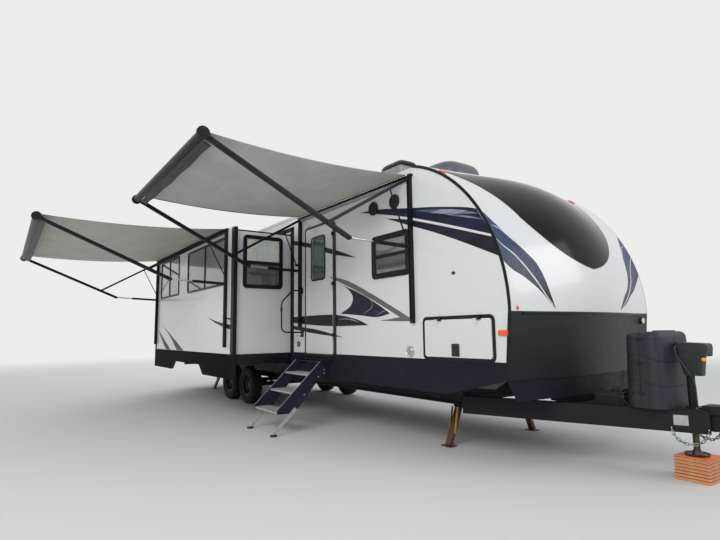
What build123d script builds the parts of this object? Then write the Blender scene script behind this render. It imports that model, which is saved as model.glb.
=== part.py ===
from build123d import *
from math import atan2, cos, degrees, hypot, pi, radians, sin, sqrt, tan
import os

# Travel caravan, parked with its electric tongue jack on a stack of levelling blocks.
# Millimetres. +X runs forward to the coupler, +Y to the road side, +Z up.
# The origin is on the ground, under the axis of the tongue jack.

os.makedirs("parts", exist_ok=True)

# Body shell
BODY_WIDTH = 2440.0
HALF = BODY_WIDTH / 2
BODY_REAR = -10750.0
WALL = 45.0
ROOF_T = 50.0
ROOF_Z = 3130.0
ROOF_CROWN = 20.0
BELT_Z = 990.0
SKIRT_Z = 650.0
SKIRT_T = 20.0
DECK_LOW_Z = 740.0
DECK_TOP = 810.0
ENTRY_DECK_TOP = 930.0
ENTRY_DECK_X = -5000.0

# Front cap: the side edge is an arc over a leaning line. The middle is bowed forward at the
# knee and more so half way up, and runs flush into the straight front edge of the roof.
CAP_FRONT_X = -905.0
CAP_R = 1780.0
CAP_SWEEP = 70.706
CAP_CX = CAP_FRONT_X - CAP_R
CAP_CZ = ROOF_Z - CAP_R * sin(radians(CAP_SWEEP))
CAP_T = 40.0
CAP_BOTTOM_Z = 830.0
CAP_LEAN = 60.0
CAP_KNEE_BOW = 105.0
CAP_MID_BOW = 172.0
CAP_SHOULDER_Y = HALF - 460
CAP_KNEE_SHOULDER = 40.0
CAP_MID_SHOULDER = 60.0
CAP_RISE_SHOULDER = ROOF_CROWN * (1 - (CAP_SHOULDER_Y / HALF) ** 2)
SCREEN_T = 6.0
# Sections of the cap across the width: y, bow at the knee, bow half way up, rise of the top edge
CAP_STATIONS = (
    (-HALF, 0.0, 0.0, 0.0),
    (-CAP_SHOULDER_Y, CAP_KNEE_SHOULDER, CAP_MID_SHOULDER, CAP_RISE_SHOULDER),
    (0.0, CAP_KNEE_BOW, CAP_MID_BOW, ROOF_CROWN),
    (CAP_SHOULDER_Y, CAP_KNEE_SHOULDER, CAP_MID_SHOULDER, CAP_RISE_SHOULDER),
    (HALF, 0.0, 0.0, 0.0),
)

# Chassis
RAIL_Y = HALF - 420
RAIL_W = 100.0
RAIL_Z0 = 490.0
RAIL_WEB = 12.0
RAIL_FLANGE = 16.0
RAIL_FRONT = -1950.0
CROSS_W = 60.0
CROSS_PITCH = 1080.0
AFRAME_Z0 = 404.0
AFRAME_Z1 = 585.0
AFRAME_W = 76.0

# Stabilisers: pivot and foot as (distance from the centre plane, height)
STAB_X = (-2220.0, -9900.0)
STAB_PIVOT = (RAIL_Y - 240, 440.0)
STAB_FOOT = (RAIL_Y - 50, 0.0)
STAB_T = 76.0
EAR_T = 8.0
PIN_R = 8.0
PIN_FIT = 0.1
SIDE_FIT = 0.3

# Wheels and axles
WHEEL_R = 345.0
TYRE_W = 205.0
WHEEL_Y = HALF - 140
AXLE_X = (-7000.0, -7870.0)
RIM_R = 192.0
DRUM_R = 92.0
AXLE_R = 38.0

# Slide-out
SLIDE_X0 = -9600.0
SLIDE_X1 = -5105.0
SLIDE_FACE_Y = -HALF - 946
SLIDE_INNER_Y = -HALF + 160
SLIDE_FLOOR_Z = 830.0
SLIDE_TOP_Z = 2880.0
SLIDE_SKIRT_Z = 620.0
SLIDE_WALL = 40.0
SLIDE_LAP = 40.0
SLIDE_GAP = 20.0
ARCH_X0 = -8350.0
ARCH_X1 = -6450.0
ARCH_TOP = 775.0

# Entry door and baggage door, outer sizes of their frames
DOOR_X0 = -4660.0
DOOR_X1 = -3840.0
DOOR_Z0 = 950.0
DOOR_Z1 = 2850.0
BAG_X0 = -2071.0
BAG_X1 = -1095.0
BAG_Z0 = 980.0
BAG_Z1 = 1430.0
FRAME_W = 30.0
FRAME_LAP = 12.0
FRAME_PROUD = 8.0
DOOR_T = 40.0
DOOR_GAP = 6.0
DOOR_PROUD = 12.0
HINGE_R = 8.0
HINGE_OUT = 11.0
HINGE_IN = 4.0

# Steps
STEP_X0 = -4650.0
STEP_X1 = -3950.0
STEP_PIVOT_Y = -HALF - 110
STEP_PIVOT_Z = 880.0
TREAD_D = 215.0
TREAD_RUN = 228.0
TREAD_RISE = 222.5
TREAD_T = 30.0
STRINGER_T = 8.0
STEP_SILL = 42.0

# Tongue jack, blocks and coupler
JACK_TUBE_R = 32.0
JACK_LEG_R = 26.0
JACK_FIT = 0.3
BLOCK_LAYERS = 8
BLOCK_H = 25.0
BLOCK_W = 270.0
STACK_TOP = BLOCK_LAYERS * BLOCK_H
FOOT_T = 12.0
TUBE_BOTTOM = 395.0
TUBE_TOP = 870.0
COUPLER_TIP = 450.0
BALL_X = 385.0
BALL_Z = 470.0
BALL_R = 30.0

# Awnings
AWN_RAIL_Z = 3030.0
AWN_X = (-2215.0, -4795.0)
AWN_ROLLER_Y = -HALF - 2380
AWN_ROLLER_Z = 3010.0
ROLLER_R = 42.0
FABRIC_T = 6.0
SLIDE_AWN_X = (-5400.0, -9550.0)
SLIDE_AWN_ROLLER_Y = SLIDE_FACE_Y - 2484
SLIDE_AWN_ROLLER_Z = 2775.0
SLIDE_AWN_RAIL_Z = 2862.0
POST_D = 45.0
POST_W = 45.0


def save(builder, name):
    builder.part.label = name
    export_step(builder.part, "parts/" + name + ".step")


def cap_edge_x(z, inset=0.0):
    """X of the cap's side edge at height z, moved inwards by inset."""
    if z >= CAP_CZ:
        return CAP_CX + sqrt((CAP_R - inset) ** 2 - (z - CAP_CZ) ** 2)
    fall = (CAP_CZ - z) / (CAP_CZ - CAP_BOTTOM_Z)
    return CAP_CX + CAP_R - inset - CAP_LEAN * fall


CAP_TOP_X = cap_edge_x(ROOF_Z)


def cap_arc_z(inset):
    """Height of the cap's side arc at its rear end, for a surface moved inwards by inset."""
    return CAP_CZ + sqrt((CAP_R - inset) ** 2 - (CAP_TOP_X - CAP_CX) ** 2)


def cap_upper_shell(inner, outer):
    """Arched part of the cap between two insets: it ends in a vertical face at the roof."""
    with BuildPart() as shell:
        for y, knee_bow, mid_bow, rise in CAP_STATIONS:
            with BuildSketch(side_plane(y)):
                with BuildLine():
                    ends = []
                    for inset in (outer, inner):
                        mid_z = (CAP_CZ + cap_arc_z(inset)) / 2
                        foot = (cap_edge_x(CAP_CZ, inset) + knee_bow, CAP_CZ)
                        head = (CAP_TOP_X, cap_arc_z(inset) + rise)
                        mid = (cap_edge_x(mid_z, inset) + mid_bow, mid_z + rise / 2)
                        ThreePointArc(foot, mid, head)
                        ends.append((foot, head))
                    Line(ends[0][0], ends[1][0])
                    Line(ends[0][1], ends[1][1])
                make_face()
        loft()
    return shell.part


def side_plane(y):
    """Plane of the curb or road side at y: local x is forward, local y is up."""
    return Plane(origin=(0, y, 0), x_dir=(1, 0, 0), z_dir=(0, -1, 0))


# Windows of the two side walls: x0, x1, z0, z1 of the frame, side (-1 curb, 1 road)
SIDE_WINDOWS = (
    (-2970.0, -2260.0, 1915.0, 2440.0, -1),
    (-3600.0, -2400.0, 1950.0, 2500.0, 1),
    (-6300.0, -5000.0, 1800.0, 2500.0, 1),
    (-9300.0, -8100.0, 1900.0, 2500.0, 1),
)
# Windows of the slide-out's outer wall: x0, x1, z0, z1
SLIDE_WINDOWS = (
    (-9280.0, -7950.0, 2030.0, 2800.0),
    (-7400.0, -5470.0, 2020.0, 2770.0),
)
# Window of the slide-out's front end wall: y0, y1, z0, z1
SLIDE_END_WINDOW = (SLIDE_FACE_Y + 151, -HALF - 150, 1960.0, 2765.0)
REAR_WINDOW = (-500.0, 500.0, 1750.0, 2350.0)
WINDOW_RIM = 35.0
WINDOW_LAP = 15.0
WINDOW_PROUD = 12.0
GLASS_T = 6.0
CORNER_R = 60.0


def rect_at(x0, x1, z0, z1, radius, grow=0.0):
    """Rounded rectangle in the open sketch, given by its edges and grown outwards."""
    with Locations(((x0 + x1) / 2, (z0 + z1) / 2)):
        RectangleRounded(x1 - x0 + 2 * grow, z1 - z0 + 2 * grow, radius + grow)


# Side walls: the front edge follows the cap, the lower tongue stands on the deck
def side_wall(side):
    outer_y = side * HALF
    back_y = side * (HALF - SKIRT_T)
    inner_y = side * (HALF - WALL)
    front_mid = (ROOF_Z + CAP_CZ) / 2
    roof_under = ROOF_Z - ROOF_T
    with BuildPart() as wall:
        with BuildSketch(side_plane(outer_y)):
            with BuildLine():
                top = (cap_edge_x(roof_under, CAP_T), roof_under)
                knee = (cap_edge_x(CAP_CZ, CAP_T), CAP_CZ)
                Polyline((BODY_REAR, BELT_Z), (BODY_REAR, roof_under), top)
                ThreePointArc(top, (cap_edge_x(front_mid, CAP_T), front_mid), knee)
                Polyline(knee, (cap_edge_x(BELT_Z, CAP_T), BELT_Z), (BODY_REAR, BELT_Z))
            make_face()
        extrude(amount=side * WALL)
        with BuildSketch(side_plane(back_y)):
            with BuildLine():
                Polyline(
                    (BODY_REAR, DECK_LOW_Z),
                    (BODY_REAR, BELT_Z),
                    (cap_edge_x(BELT_Z, CAP_T), BELT_Z),
                    (cap_edge_x(CAP_BOTTOM_Z, CAP_T), CAP_BOTTOM_Z),
                    (cap_edge_x(CAP_BOTTOM_Z, CAP_T) - 150, DECK_LOW_Z),
                    close=True,
                )
            make_face()
        extrude(amount=side * (WALL - SKIRT_T))
        for x0, x1, z0, z1, where in SIDE_WINDOWS:
            if where == side:
                with BuildSketch(side_plane(outer_y)):
                    rect_at(x0, x1, z0, z1, CORNER_R, -WINDOW_LAP)
                extrude(amount=side * WALL, mode=Mode.SUBTRACT)
        if side < 0:
            with BuildSketch(side_plane(outer_y)):
                rect_at(DOOR_X0, DOOR_X1, DOOR_Z0, DOOR_Z1, CORNER_R, -FRAME_LAP)
                rect_at(BAG_X0, BAG_X1, BAG_Z0, BAG_Z1, CORNER_R, -FRAME_LAP)
                rect_at(
                    SLIDE_X0 + SLIDE_LAP - SLIDE_GAP,
                    SLIDE_X1 - SLIDE_LAP + SLIDE_GAP,
                    DECK_TOP,
                    SLIDE_TOP_Z - SLIDE_LAP + SLIDE_GAP,
                    1.0,
                )
            extrude(amount=side * WALL, mode=Mode.SUBTRACT)
    return wall


for side, wall_name in ((-1, "side_wall_curb"), (1, "side_wall_road")):
    wall = side_wall(side)
    save(wall, wall_name)

# Rear wall between the side walls
with BuildPart() as rear_wall:
    with BuildSketch(Plane.YZ.offset(BODY_REAR)):
        with Locations((0, (DECK_LOW_Z + ROOF_Z - ROOF_T) / 2)):
            Rectangle(BODY_WIDTH - 2 * WALL, ROOF_Z - ROOF_T - DECK_LOW_Z)
    extrude(amount=WALL)
    with BuildSketch(Plane.YZ.offset(BODY_REAR)):
        rect_at(*REAR_WINDOW, CORNER_R, -WINDOW_LAP)
    extrude(amount=WALL, mode=Mode.SUBTRACT)
save(rear_wall, "rear_wall")

# Roof, crowned across its width
ROOF_GAP = 0.3
with BuildPart() as roof:
    with BuildSketch(Plane.YZ.offset(BODY_REAR)):
        with BuildLine():
            Polyline(
                (-HALF, ROOF_Z),
                (-HALF, ROOF_Z - ROOF_T),
                (HALF, ROOF_Z - ROOF_T),
                (HALF, ROOF_Z),
            )
            ThreePointArc((HALF, ROOF_Z), (0, ROOF_Z + ROOF_CROWN), (-HALF, ROOF_Z))
        make_face()
    extrude(amount=CAP_TOP_X - ROOF_GAP - BODY_REAR)
save(roof, "roof")

# Cabin floor: low under the slide-out, one step higher by the entry door
DECK_FRONT = cap_edge_x(CAP_BOTTOM_Z, CAP_T) - 150
with BuildPart() as floor_deck:
    with BuildSketch(side_plane(HALF - WALL)):
        with BuildLine():
            Polyline(
                (BODY_REAR + WALL, DECK_LOW_Z),
                (BODY_REAR + WALL, DECK_TOP),
                (ENTRY_DECK_X, DECK_TOP),
                (ENTRY_DECK_X, ENTRY_DECK_TOP),
                (DECK_FRONT, ENTRY_DECK_TOP),
                (DECK_FRONT, DECK_LOW_Z),
                close=True,
            )
        make_face()
    extrude(amount=BODY_WIDTH - 2 * WALL)
save(floor_deck, "floor_deck")

# Front cap and windscreen
with BuildPart() as cap_upper:
    add(cap_upper_shell(CAP_T, 0.0))
save(cap_upper, "cap_upper")

with BuildPart() as cap_lower:
    for y, bow, mid_bow, rise in CAP_STATIONS:
        with BuildSketch(Plane(origin=(bow, y, 0), x_dir=(1, 0, 0), z_dir=(0, -1, 0))):
            with BuildLine():
                Polyline(
                    (cap_edge_x(CAP_CZ), CAP_CZ),
                    (cap_edge_x(CAP_BOTTOM_Z), CAP_BOTTOM_Z),
                    (cap_edge_x(CAP_BOTTOM_Z, CAP_T), CAP_BOTTOM_Z),
                    (cap_edge_x(CAP_CZ, CAP_T), CAP_CZ),
                    close=True,
                )
            make_face()
    loft()
save(cap_lower, "cap_lower")

# Half outline of the screen: tip, lower curve up to the cheek, side curve up to the trim
SCREEN_TIP_Z = 1890.0
SCREEN_BEND = (HALF - 745, 2083.0)
SCREEN_CHEEK = (HALF - 467, 2397.0)
SCREEN_SIDE = (HALF - 330, 2700.0)
SCREEN_TOP = (HALF - 110, 3000.0)
with BuildPart() as windscreen:
    add(cap_upper_shell(0.0, -SCREEN_T))
    with BuildSketch(Plane.YZ.offset(CAP_CX)):
        with BuildLine():
            for s in (-1, 1):
                tip, bend, cheek, side, top = (
                    (s * y, z) for y, z in ((0, SCREEN_TIP_Z), SCREEN_BEND, SCREEN_CHEEK, SCREEN_SIDE, SCREEN_TOP)
                )
                ThreePointArc(tip, bend, cheek)
                ThreePointArc(cheek, side, top)
            Line((-SCREEN_TOP[0], SCREEN_TOP[1]), (SCREEN_TOP[0], SCREEN_TOP[1]))
        make_face()
    extrude(amount=2500, mode=Mode.INTERSECT)
save(windscreen, "windscreen")

# Trim strip over the joint of cap and side walls, one on each side
TRIM_T = 6.0
TRIM_W = 32.0
with BuildPart() as cap_trim:
    for s in (-1, 1):
        with BuildSketch(side_plane(s * HALF)):
            with BuildLine():
                mid_z = (ROOF_Z + CAP_CZ) / 2
                outer = [(cap_edge_x(z, 0.0), z) for z in (ROOF_Z, mid_z, CAP_CZ, CAP_BOTTOM_Z)]
                inner = [(cap_edge_x(z, TRIM_W), z) for z in (ROOF_Z, mid_z, CAP_CZ, CAP_BOTTOM_Z)]
                ThreePointArc(outer[0], outer[1], outer[2])
                Line(outer[2], outer[3])
                Line(outer[3], inner[3])
                Line(inner[3], inner[2])
                ThreePointArc(inner[2], inner[1], inner[0])
                Line(inner[0], outer[0])
            make_face()
        extrude(amount=-s * TRIM_T)
save(cap_trim, "cap_trim")

# Skirts under the belt line, and the folded valance under the cap
SKIRT_KICK_X = -1750.0
VALANCE_Z = 640.0
VALANCE_T = 12.0
VALANCE_FOOT_Y = HALF - 120
VALANCE_BACK = 14.0
BELLY_T = 6.0
BELLY_SLOPE = (CAP_BOTTOM_Z - SKIRT_Z) / (cap_edge_x(CAP_BOTTOM_Z, CAP_T) - SKIRT_KICK_X)
BELLY_Z = DECK_LOW_Z - BELLY_T - 2
BELLY = ((SKIRT_KICK_X, SKIRT_Z), (SKIRT_KICK_X + (BELLY_Z - SKIRT_Z) / BELLY_SLOPE, BELLY_Z))
with BuildPart() as valance:
    for y, bow, mid_bow, rise in CAP_STATIONS:
        with BuildSketch(Plane(origin=(bow, y, 0), x_dir=(1, 0, 0), z_dir=(0, -1, 0))):
            front = cap_edge_x(CAP_BOTTOM_Z) - VALANCE_BACK
            with Locations((front - VALANCE_T / 2, (VALANCE_Z + CAP_BOTTOM_Z) / 2)):
                Rectangle(VALANCE_T, CAP_BOTTOM_Z - VALANCE_Z)
    loft()
    with BuildSketch(Plane.YZ.offset(cap_edge_x(CAP_BOTTOM_Z) - 200)):
        with BuildLine():
            Polyline(
                (-HALF, CAP_BOTTOM_Z),
                (HALF, CAP_BOTTOM_Z),
                (VALANCE_FOOT_Y, VALANCE_Z),
                (-VALANCE_FOOT_Y, VALANCE_Z),
                close=True,
            )
        make_face()
    extrude(amount=600, mode=Mode.INTERSECT)

with BuildPart() as skirts:
    for s in (-1, 1):
        with BuildSketch(side_plane(s * HALF)):
            with BuildLine():
                Polyline(
                    (BODY_REAR, SKIRT_Z),
                    (BODY_REAR, BELT_Z),
                    (cap_edge_x(BELT_Z, CAP_T), BELT_Z),
                    (cap_edge_x(CAP_BOTTOM_Z, CAP_T), CAP_BOTTOM_Z),
                    (SKIRT_KICK_X, SKIRT_Z),
                    close=True,
                )
            make_face()
            with BuildLine():
                Polyline(
                    (ARCH_X0, SKIRT_Z - 1),
                    (ARCH_X0 + 200, ARCH_TOP),
                    (ARCH_X1 - 200, ARCH_TOP),
                    (ARCH_X1, SKIRT_Z - 1),
                    close=True,
                )
            make_face(mode=Mode.SUBTRACT)
            if s < 0:
                with Locations(((SLIDE_X0 + SLIDE_X1) / 2, DECK_TOP + 400)):
                    Rectangle(SLIDE_X1 - SLIDE_X0 - 2 * SLIDE_LAP + 2 * SLIDE_GAP, 800, mode=Mode.SUBTRACT)
                for x0, x1, z0, z1 in (
                    (DOOR_X0, DOOR_X1, DOOR_Z0, DOOR_Z1),
                    (BAG_X0, BAG_X1, BAG_Z0, BAG_Z1),
                ):
                    with Locations(((x0 + x1) / 2, (z0 + z1) / 2)):
                        RectangleRounded(
                            x1 - x0 - 2 * FRAME_LAP, z1 - z0 - 2 * FRAME_LAP, CORNER_R - FRAME_LAP,
                            mode=Mode.SUBTRACT,
                        )
        extrude(amount=s * SKIRT_T)
    add(valance.part)
    with BuildSketch(side_plane(HALF - SKIRT_T)):
        with BuildLine():
            Polyline(
                *BELLY,
                *((x, z + BELLY_T) for x, z in reversed(BELLY)),
                close=True,
            )
        make_face()
    extrude(amount=2 * (HALF - SKIRT_T))
save(skirts, "skirts")


def window_ring(place, x0, x1, z0, z1, depth, divider_z=None, divider_x=None):
    """Frame of one window: proud flange, jamb through the wall and an optional bar."""
    with BuildPart() as ring:
        with BuildSketch(place):
            rect_at(x0, x1, z0, z1, CORNER_R)
            with Locations(((x0 + x1) / 2, (z0 + z1) / 2)):
                RectangleRounded(
                    x1 - x0 - 2 * WINDOW_RIM, z1 - z0 - 2 * WINDOW_RIM,
                    CORNER_R - WINDOW_RIM, mode=Mode.SUBTRACT,
                )
            if divider_z is not None:
                with Locations(((x0 + x1) / 2, divider_z)):
                    Rectangle(x1 - x0 - WINDOW_RIM, 25)
            if divider_x is not None:
                with Locations((divider_x, (z0 + z1) / 2)):
                    Rectangle(25, z1 - z0 - WINDOW_RIM)
        extrude(amount=WINDOW_PROUD)
        with BuildSketch(place):
            rect_at(x0, x1, z0, z1, CORNER_R, -WINDOW_LAP)
            with Locations(((x0 + x1) / 2, (z0 + z1) / 2)):
                RectangleRounded(
                    x1 - x0 - 2 * WINDOW_RIM, z1 - z0 - 2 * WINDOW_RIM,
                    CORNER_R - WINDOW_RIM, mode=Mode.SUBTRACT,
                )
        extrude(amount=-depth)
    return ring.part


def window_pane(place, x0, x1, z0, z1):
    """Pane that fills a window frame just inside its bar."""
    with BuildPart() as pane:
        with BuildSketch(place):
            with Locations(((x0 + x1) / 2, (z0 + z1) / 2)):
                RectangleRounded(x1 - x0 - 2 * WINDOW_RIM, z1 - z0 - 2 * WINDOW_RIM, CORNER_R - WINDOW_RIM)
        extrude(amount=-GLASS_T)
    return pane.part


def face_plane(side):
    """Outer face of a side wall: local y is up and the normal points outwards."""
    if side < 0:
        return Plane(origin=(0, -HALF, 0), x_dir=(1, 0, 0), z_dir=(0, -1, 0))
    return Plane(origin=(0, HALF, 0), x_dir=(-1, 0, 0), z_dir=(0, 1, 0))


REAR_FACE = Plane(origin=(BODY_REAR, 0, 0), x_dir=(0, -1, 0), z_dir=(-1, 0, 0))

with BuildPart() as window_frames:
    for x0, x1, z0, z1, side in SIDE_WINDOWS:
        low, high = (x0, x1) if side < 0 else (-x1, -x0)
        middle = (z0 + z1) / 2
        add(window_ring(face_plane(side), low, high, z0, z1, WALL, divider_z=middle))
    add(window_ring(REAR_FACE, *REAR_WINDOW, WALL))
save(window_frames, "window_frames")

with BuildPart() as window_glass:
    for x0, x1, z0, z1, side in SIDE_WINDOWS:
        low, high = (x0, x1) if side < 0 else (-x1, -x0)
        add(window_pane(face_plane(side), low, high, z0, z1))
    add(window_pane(REAR_FACE, *REAR_WINDOW))
save(window_glass, "window_glass")

# Chassis: two rails, cross members that stop against their webs
with BuildPart() as chassis_rails:
    for s in (-1, 1):
        with BuildSketch(Plane.YZ.offset(BODY_REAR + WALL)):
            with Locations((s * RAIL_Y, (RAIL_Z0 + DECK_LOW_Z) / 2)):
                Rectangle(RAIL_W, DECK_LOW_Z - RAIL_Z0)
            for t in (-1, 1):
                with Locations((s * RAIL_Y + t * (RAIL_W + RAIL_WEB) / 4, (RAIL_Z0 + DECK_LOW_Z) / 2)):
                    Rectangle(
                        (RAIL_W - RAIL_WEB) / 2,
                        DECK_LOW_Z - RAIL_Z0 - 2 * RAIL_FLANGE,
                        mode=Mode.SUBTRACT,
                    )
        extrude(amount=RAIL_FRONT - BODY_REAR - WALL)
save(chassis_rails, "chassis_rails")

CROSS_COUNT = int((RAIL_FRONT - BODY_REAR - WALL - CROSS_W) // CROSS_PITCH) + 1
CROSS_X = [BODY_REAR + WALL + CROSS_W / 2 + i * CROSS_PITCH for i in range(CROSS_COUNT)]
CROSS_X.append(RAIL_FRONT - CROSS_W / 2)
CROSS_X.extend(STAB_X)
with BuildPart() as cross_members:
    for x in CROSS_X:
        with Locations((x, 0, (RAIL_Z0 + RAIL_FLANGE + DECK_LOW_Z) / 2)):
            Box(CROSS_W, 2 * RAIL_Y - RAIL_W, DECK_LOW_Z - RAIL_Z0 - RAIL_FLANGE)
save(cross_members, "cross_members")

# A-frame: two tubes from the rails to the coupler, with the bars of the battery tray
BATTERY_X = -620.0
TRAY_Z = AFRAME_Z0 + 30
AFRAME_TAIL = (RAIL_FRONT + 30, RAIL_Y)
AFRAME_NOSE = (150.0, 75.0)
with BuildPart() as a_frame:
    run = hypot(AFRAME_NOSE[0] - AFRAME_TAIL[0], AFRAME_TAIL[1] - AFRAME_NOSE[1])
    lean = degrees(atan2(AFRAME_TAIL[1] - AFRAME_NOSE[1], AFRAME_NOSE[0] - AFRAME_TAIL[0]))
    for s in (-1, 1):
        with BuildSketch(Plane.XY.offset(AFRAME_Z0)):
            with Locations(
                ((AFRAME_TAIL[0] + AFRAME_NOSE[0]) / 2, s * (AFRAME_TAIL[1] + AFRAME_NOSE[1]) / 2)
            ):
                Rectangle(run, AFRAME_W, rotation=-s * lean)
        extrude(amount=AFRAME_Z1 - AFRAME_Z0)
    with Locations((RAIL_FRONT + 40, 0, (AFRAME_Z1 + DECK_LOW_Z) / 2)):
        Box(80, 2 * RAIL_Y + RAIL_W, DECK_LOW_Z - AFRAME_Z1)
    with Locations((-900, 0, (AFRAME_Z0 + AFRAME_Z1) / 2)):
        Box(60, 800, AFRAME_Z1 - AFRAME_Z0 - 40)
    for x in (BATTERY_X - 100, BATTERY_X + 100):
        tray_half = AFRAME_NOSE[1] + (AFRAME_NOSE[0] - x) * tan(radians(lean)) - AFRAME_W / 4
        with Locations((x, 0, TRAY_Z - 13)):
            Box(40, 2 * tray_half, 26)
    with BuildSketch(Plane.XY.offset(AFRAME_Z1)):
        with BuildLine():
            Polyline((-230, -230), (150, -100), (150, 100), (-230, 230), close=True)
        make_face()
    extrude(amount=8)
    with Locations((0, 0, AFRAME_Z1 + 8)):
        Hole(JACK_TUBE_R + 1, depth=8)
save(a_frame, "a_frame")

# Coupler: channel with a ball socket, the hood over it, and its latch lever
HOOD_Z0 = AFRAME_Z1 + 8
HOOD_TOP = AFRAME_Z1 + 50
LEVER_W = 24.0
with BuildPart() as coupler:
    with BuildSketch(Plane.XY.offset(AFRAME_Z0 + 30)):
        with BuildLine():
            Polyline((150, -60), (BALL_X, -38), (BALL_X, 38), (150, 60), close=True)
        make_face()
        with Locations((BALL_X, 0)):
            Circle(COUPLER_TIP - BALL_X)
    extrude(amount=AFRAME_Z1 - AFRAME_Z0 - 60)
    with Locations((BALL_X, 0, BALL_Z)):
        Sphere(BALL_R, mode=Mode.SUBTRACT)
    with BuildSketch(Plane.XY.offset(AFRAME_Z0 + 29)):
        with Locations((BALL_X, 0)):
            Circle(BALL_R)
    extrude(amount=BALL_Z - AFRAME_Z0 - 29, mode=Mode.SUBTRACT)
    with Locations((105, 0, (AFRAME_Z0 + 30 + AFRAME_Z1) / 2)):
        Box(120, 66, AFRAME_Z1 - AFRAME_Z0 - 30)
    with BuildPart(mode=Mode.PRIVATE) as hood:
        with BuildSketch(side_plane(100)):
            with BuildLine():
                Polyline((398, 560), (155, 560), (155, HOOD_Z0), (84, HOOD_Z0), (98, HOOD_TOP - 6), (240, HOOD_TOP))
                ThreePointArc((240, HOOD_TOP), (345, HOOD_TOP - 12), (398, 560))
            make_face()
        extrude(amount=200)
        with BuildSketch(Plane.XY.offset(500)):
            with BuildLine():
                Polyline((80, -82), (150, -86), (400, -44), (400, 44), (150, 86), (80, 82), close=True)
            make_face()
        extrude(amount=200, mode=Mode.INTERSECT)
    add(hood.part)
    with BuildSketch(side_plane(LEVER_W / 2)):
        with BuildLine():
            Polyline((216, HOOD_TOP - 8), (224, HOOD_TOP + 28), (250, HOOD_TOP + 38), (345, HOOD_TOP + 30))
            Polyline((345, HOOD_TOP + 30), (345, HOOD_TOP + 18), (262, HOOD_TOP + 20), (250, HOOD_TOP - 8))
            Line((250, HOOD_TOP - 8), (216, HOOD_TOP - 8))
        make_face()
    extrude(amount=LEVER_W)
save(coupler, "coupler")

# Tongue jack
with BuildPart() as jack_tube:
    with BuildSketch(Plane.XY.offset(TUBE_BOTTOM)):
        Circle(JACK_TUBE_R)
        Circle(JACK_LEG_R + JACK_FIT, mode=Mode.SUBTRACT)
    extrude(amount=TUBE_TOP - TUBE_BOTTOM)
    with BuildSketch(Plane.XY.offset(AFRAME_Z1 + 8)):
        Circle(70)
        Circle(JACK_TUBE_R, mode=Mode.SUBTRACT)
    extrude(amount=10)
save(jack_tube, "jack_tube")

# Head of the jack: a wedge-shaped lid over a narrower body that tapers down to the tube
HEAD_TOP = 1155.0
HEAD_HALF = 72.0
# Sections of the body: z, rear x, front x, half width
HEAD_BODY = (
    (TUBE_TOP, -34.0, 105.0, 48.0),
    (TUBE_TOP + 155, -74.0, 120.0, 62.0),
    (TUBE_TOP + 252, -80.0, 122.0, 62.0),
)
with BuildPart() as jack_head:
    with BuildSketch(side_plane(HEAD_HALF)):
        with BuildLine():
            Line((-90, 1112), (-90, 1138))
            ThreePointArc((-90, 1138), (-83, 1150), (-66, HEAD_TOP))
            Line((-66, HEAD_TOP), (138, HEAD_TOP - 9))
            ThreePointArc((138, HEAD_TOP - 9), (165, HEAD_TOP - 22), (172, HEAD_TOP - 50))
            Line((172, HEAD_TOP - 50), (158, 1036))
            Line((158, 1036), (-90, 1112))
        make_face()
    extrude(amount=2 * HEAD_HALF)
    with BuildSketch(Plane.XY.offset(TUBE_TOP)):
        with Locations((41, 0)):
            RectangleRounded(266, 2 * HEAD_HALF + 2, 34)
    extrude(amount=HEAD_TOP - TUBE_TOP + 10, mode=Mode.INTERSECT)
    for z, x0, x1, half in HEAD_BODY:
        with BuildSketch(Plane.XY.offset(z)):
            with Locations(((x0 + x1) / 2, 0)):
                RectangleRounded(x1 - x0, 2 * half, 24)
    loft(ruled=True)
save(jack_head, "jack_head")

# Inner tube of the jack with its dished foot
with BuildPart() as jack_leg:
    with BuildSketch(side_plane(0)):
        with BuildLine():
            Polyline(
                (0, STACK_TOP),
                (90, STACK_TOP),
                (98, STACK_TOP + FOOT_T + 4),
                (92, STACK_TOP + FOOT_T + 4),
                (84, STACK_TOP + FOOT_T - 4),
                (42, STACK_TOP + FOOT_T - 4),
                (34, STACK_TOP + FOOT_T + 28),
                (0, STACK_TOP + FOOT_T + 28),
                close=True,
            )
        make_face()
    revolve(axis=Axis.Z)
    with BuildSketch(Plane.XY.offset(STACK_TOP + 1)):
        Circle(JACK_LEG_R)
    extrude(amount=TUBE_TOP - 200 - STACK_TOP - 1)
save(jack_leg, "jack_leg")

# Levelling blocks: plates with pockets in their edges, stacked under the foot
POCKET = (86.0, 4.0, 12.0)
with BuildPart() as block_stack:
    for i in range(BLOCK_LAYERS):
        with Locations((0, 0, (i + 0.5) * BLOCK_H)):
            Box(BLOCK_W, BLOCK_W, BLOCK_H - 3)
    with Locations((0, 0, STACK_TOP / 2)):
        Box(BLOCK_W - 16, BLOCK_W - 16, STACK_TOP)
    for turn in (0, 90, 180, 270):
        for i in range(BLOCK_LAYERS):
            for across in (-1, 1):
                spot = Vector(across * BLOCK_W / 4, -BLOCK_W / 2 + POCKET[1] / 2, (i + 0.5) * BLOCK_H)
                with Locations(Location(spot.rotate(Axis.Z, turn), (0, 0, turn))):
                    Box(*POCKET, mode=Mode.SUBTRACT)
save(block_stack, "block_stack")

# Gas cover, battery box
COVER_X0 = -430.0
COVER_X1 = -85.0
COVER_HALF = 330.0
COVER_Z0 = AFRAME_Z1 + 8
COVER_TOP = 1250.0
COVER_SPLIT_X = -270.0
GROOVE = 6.0
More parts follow.
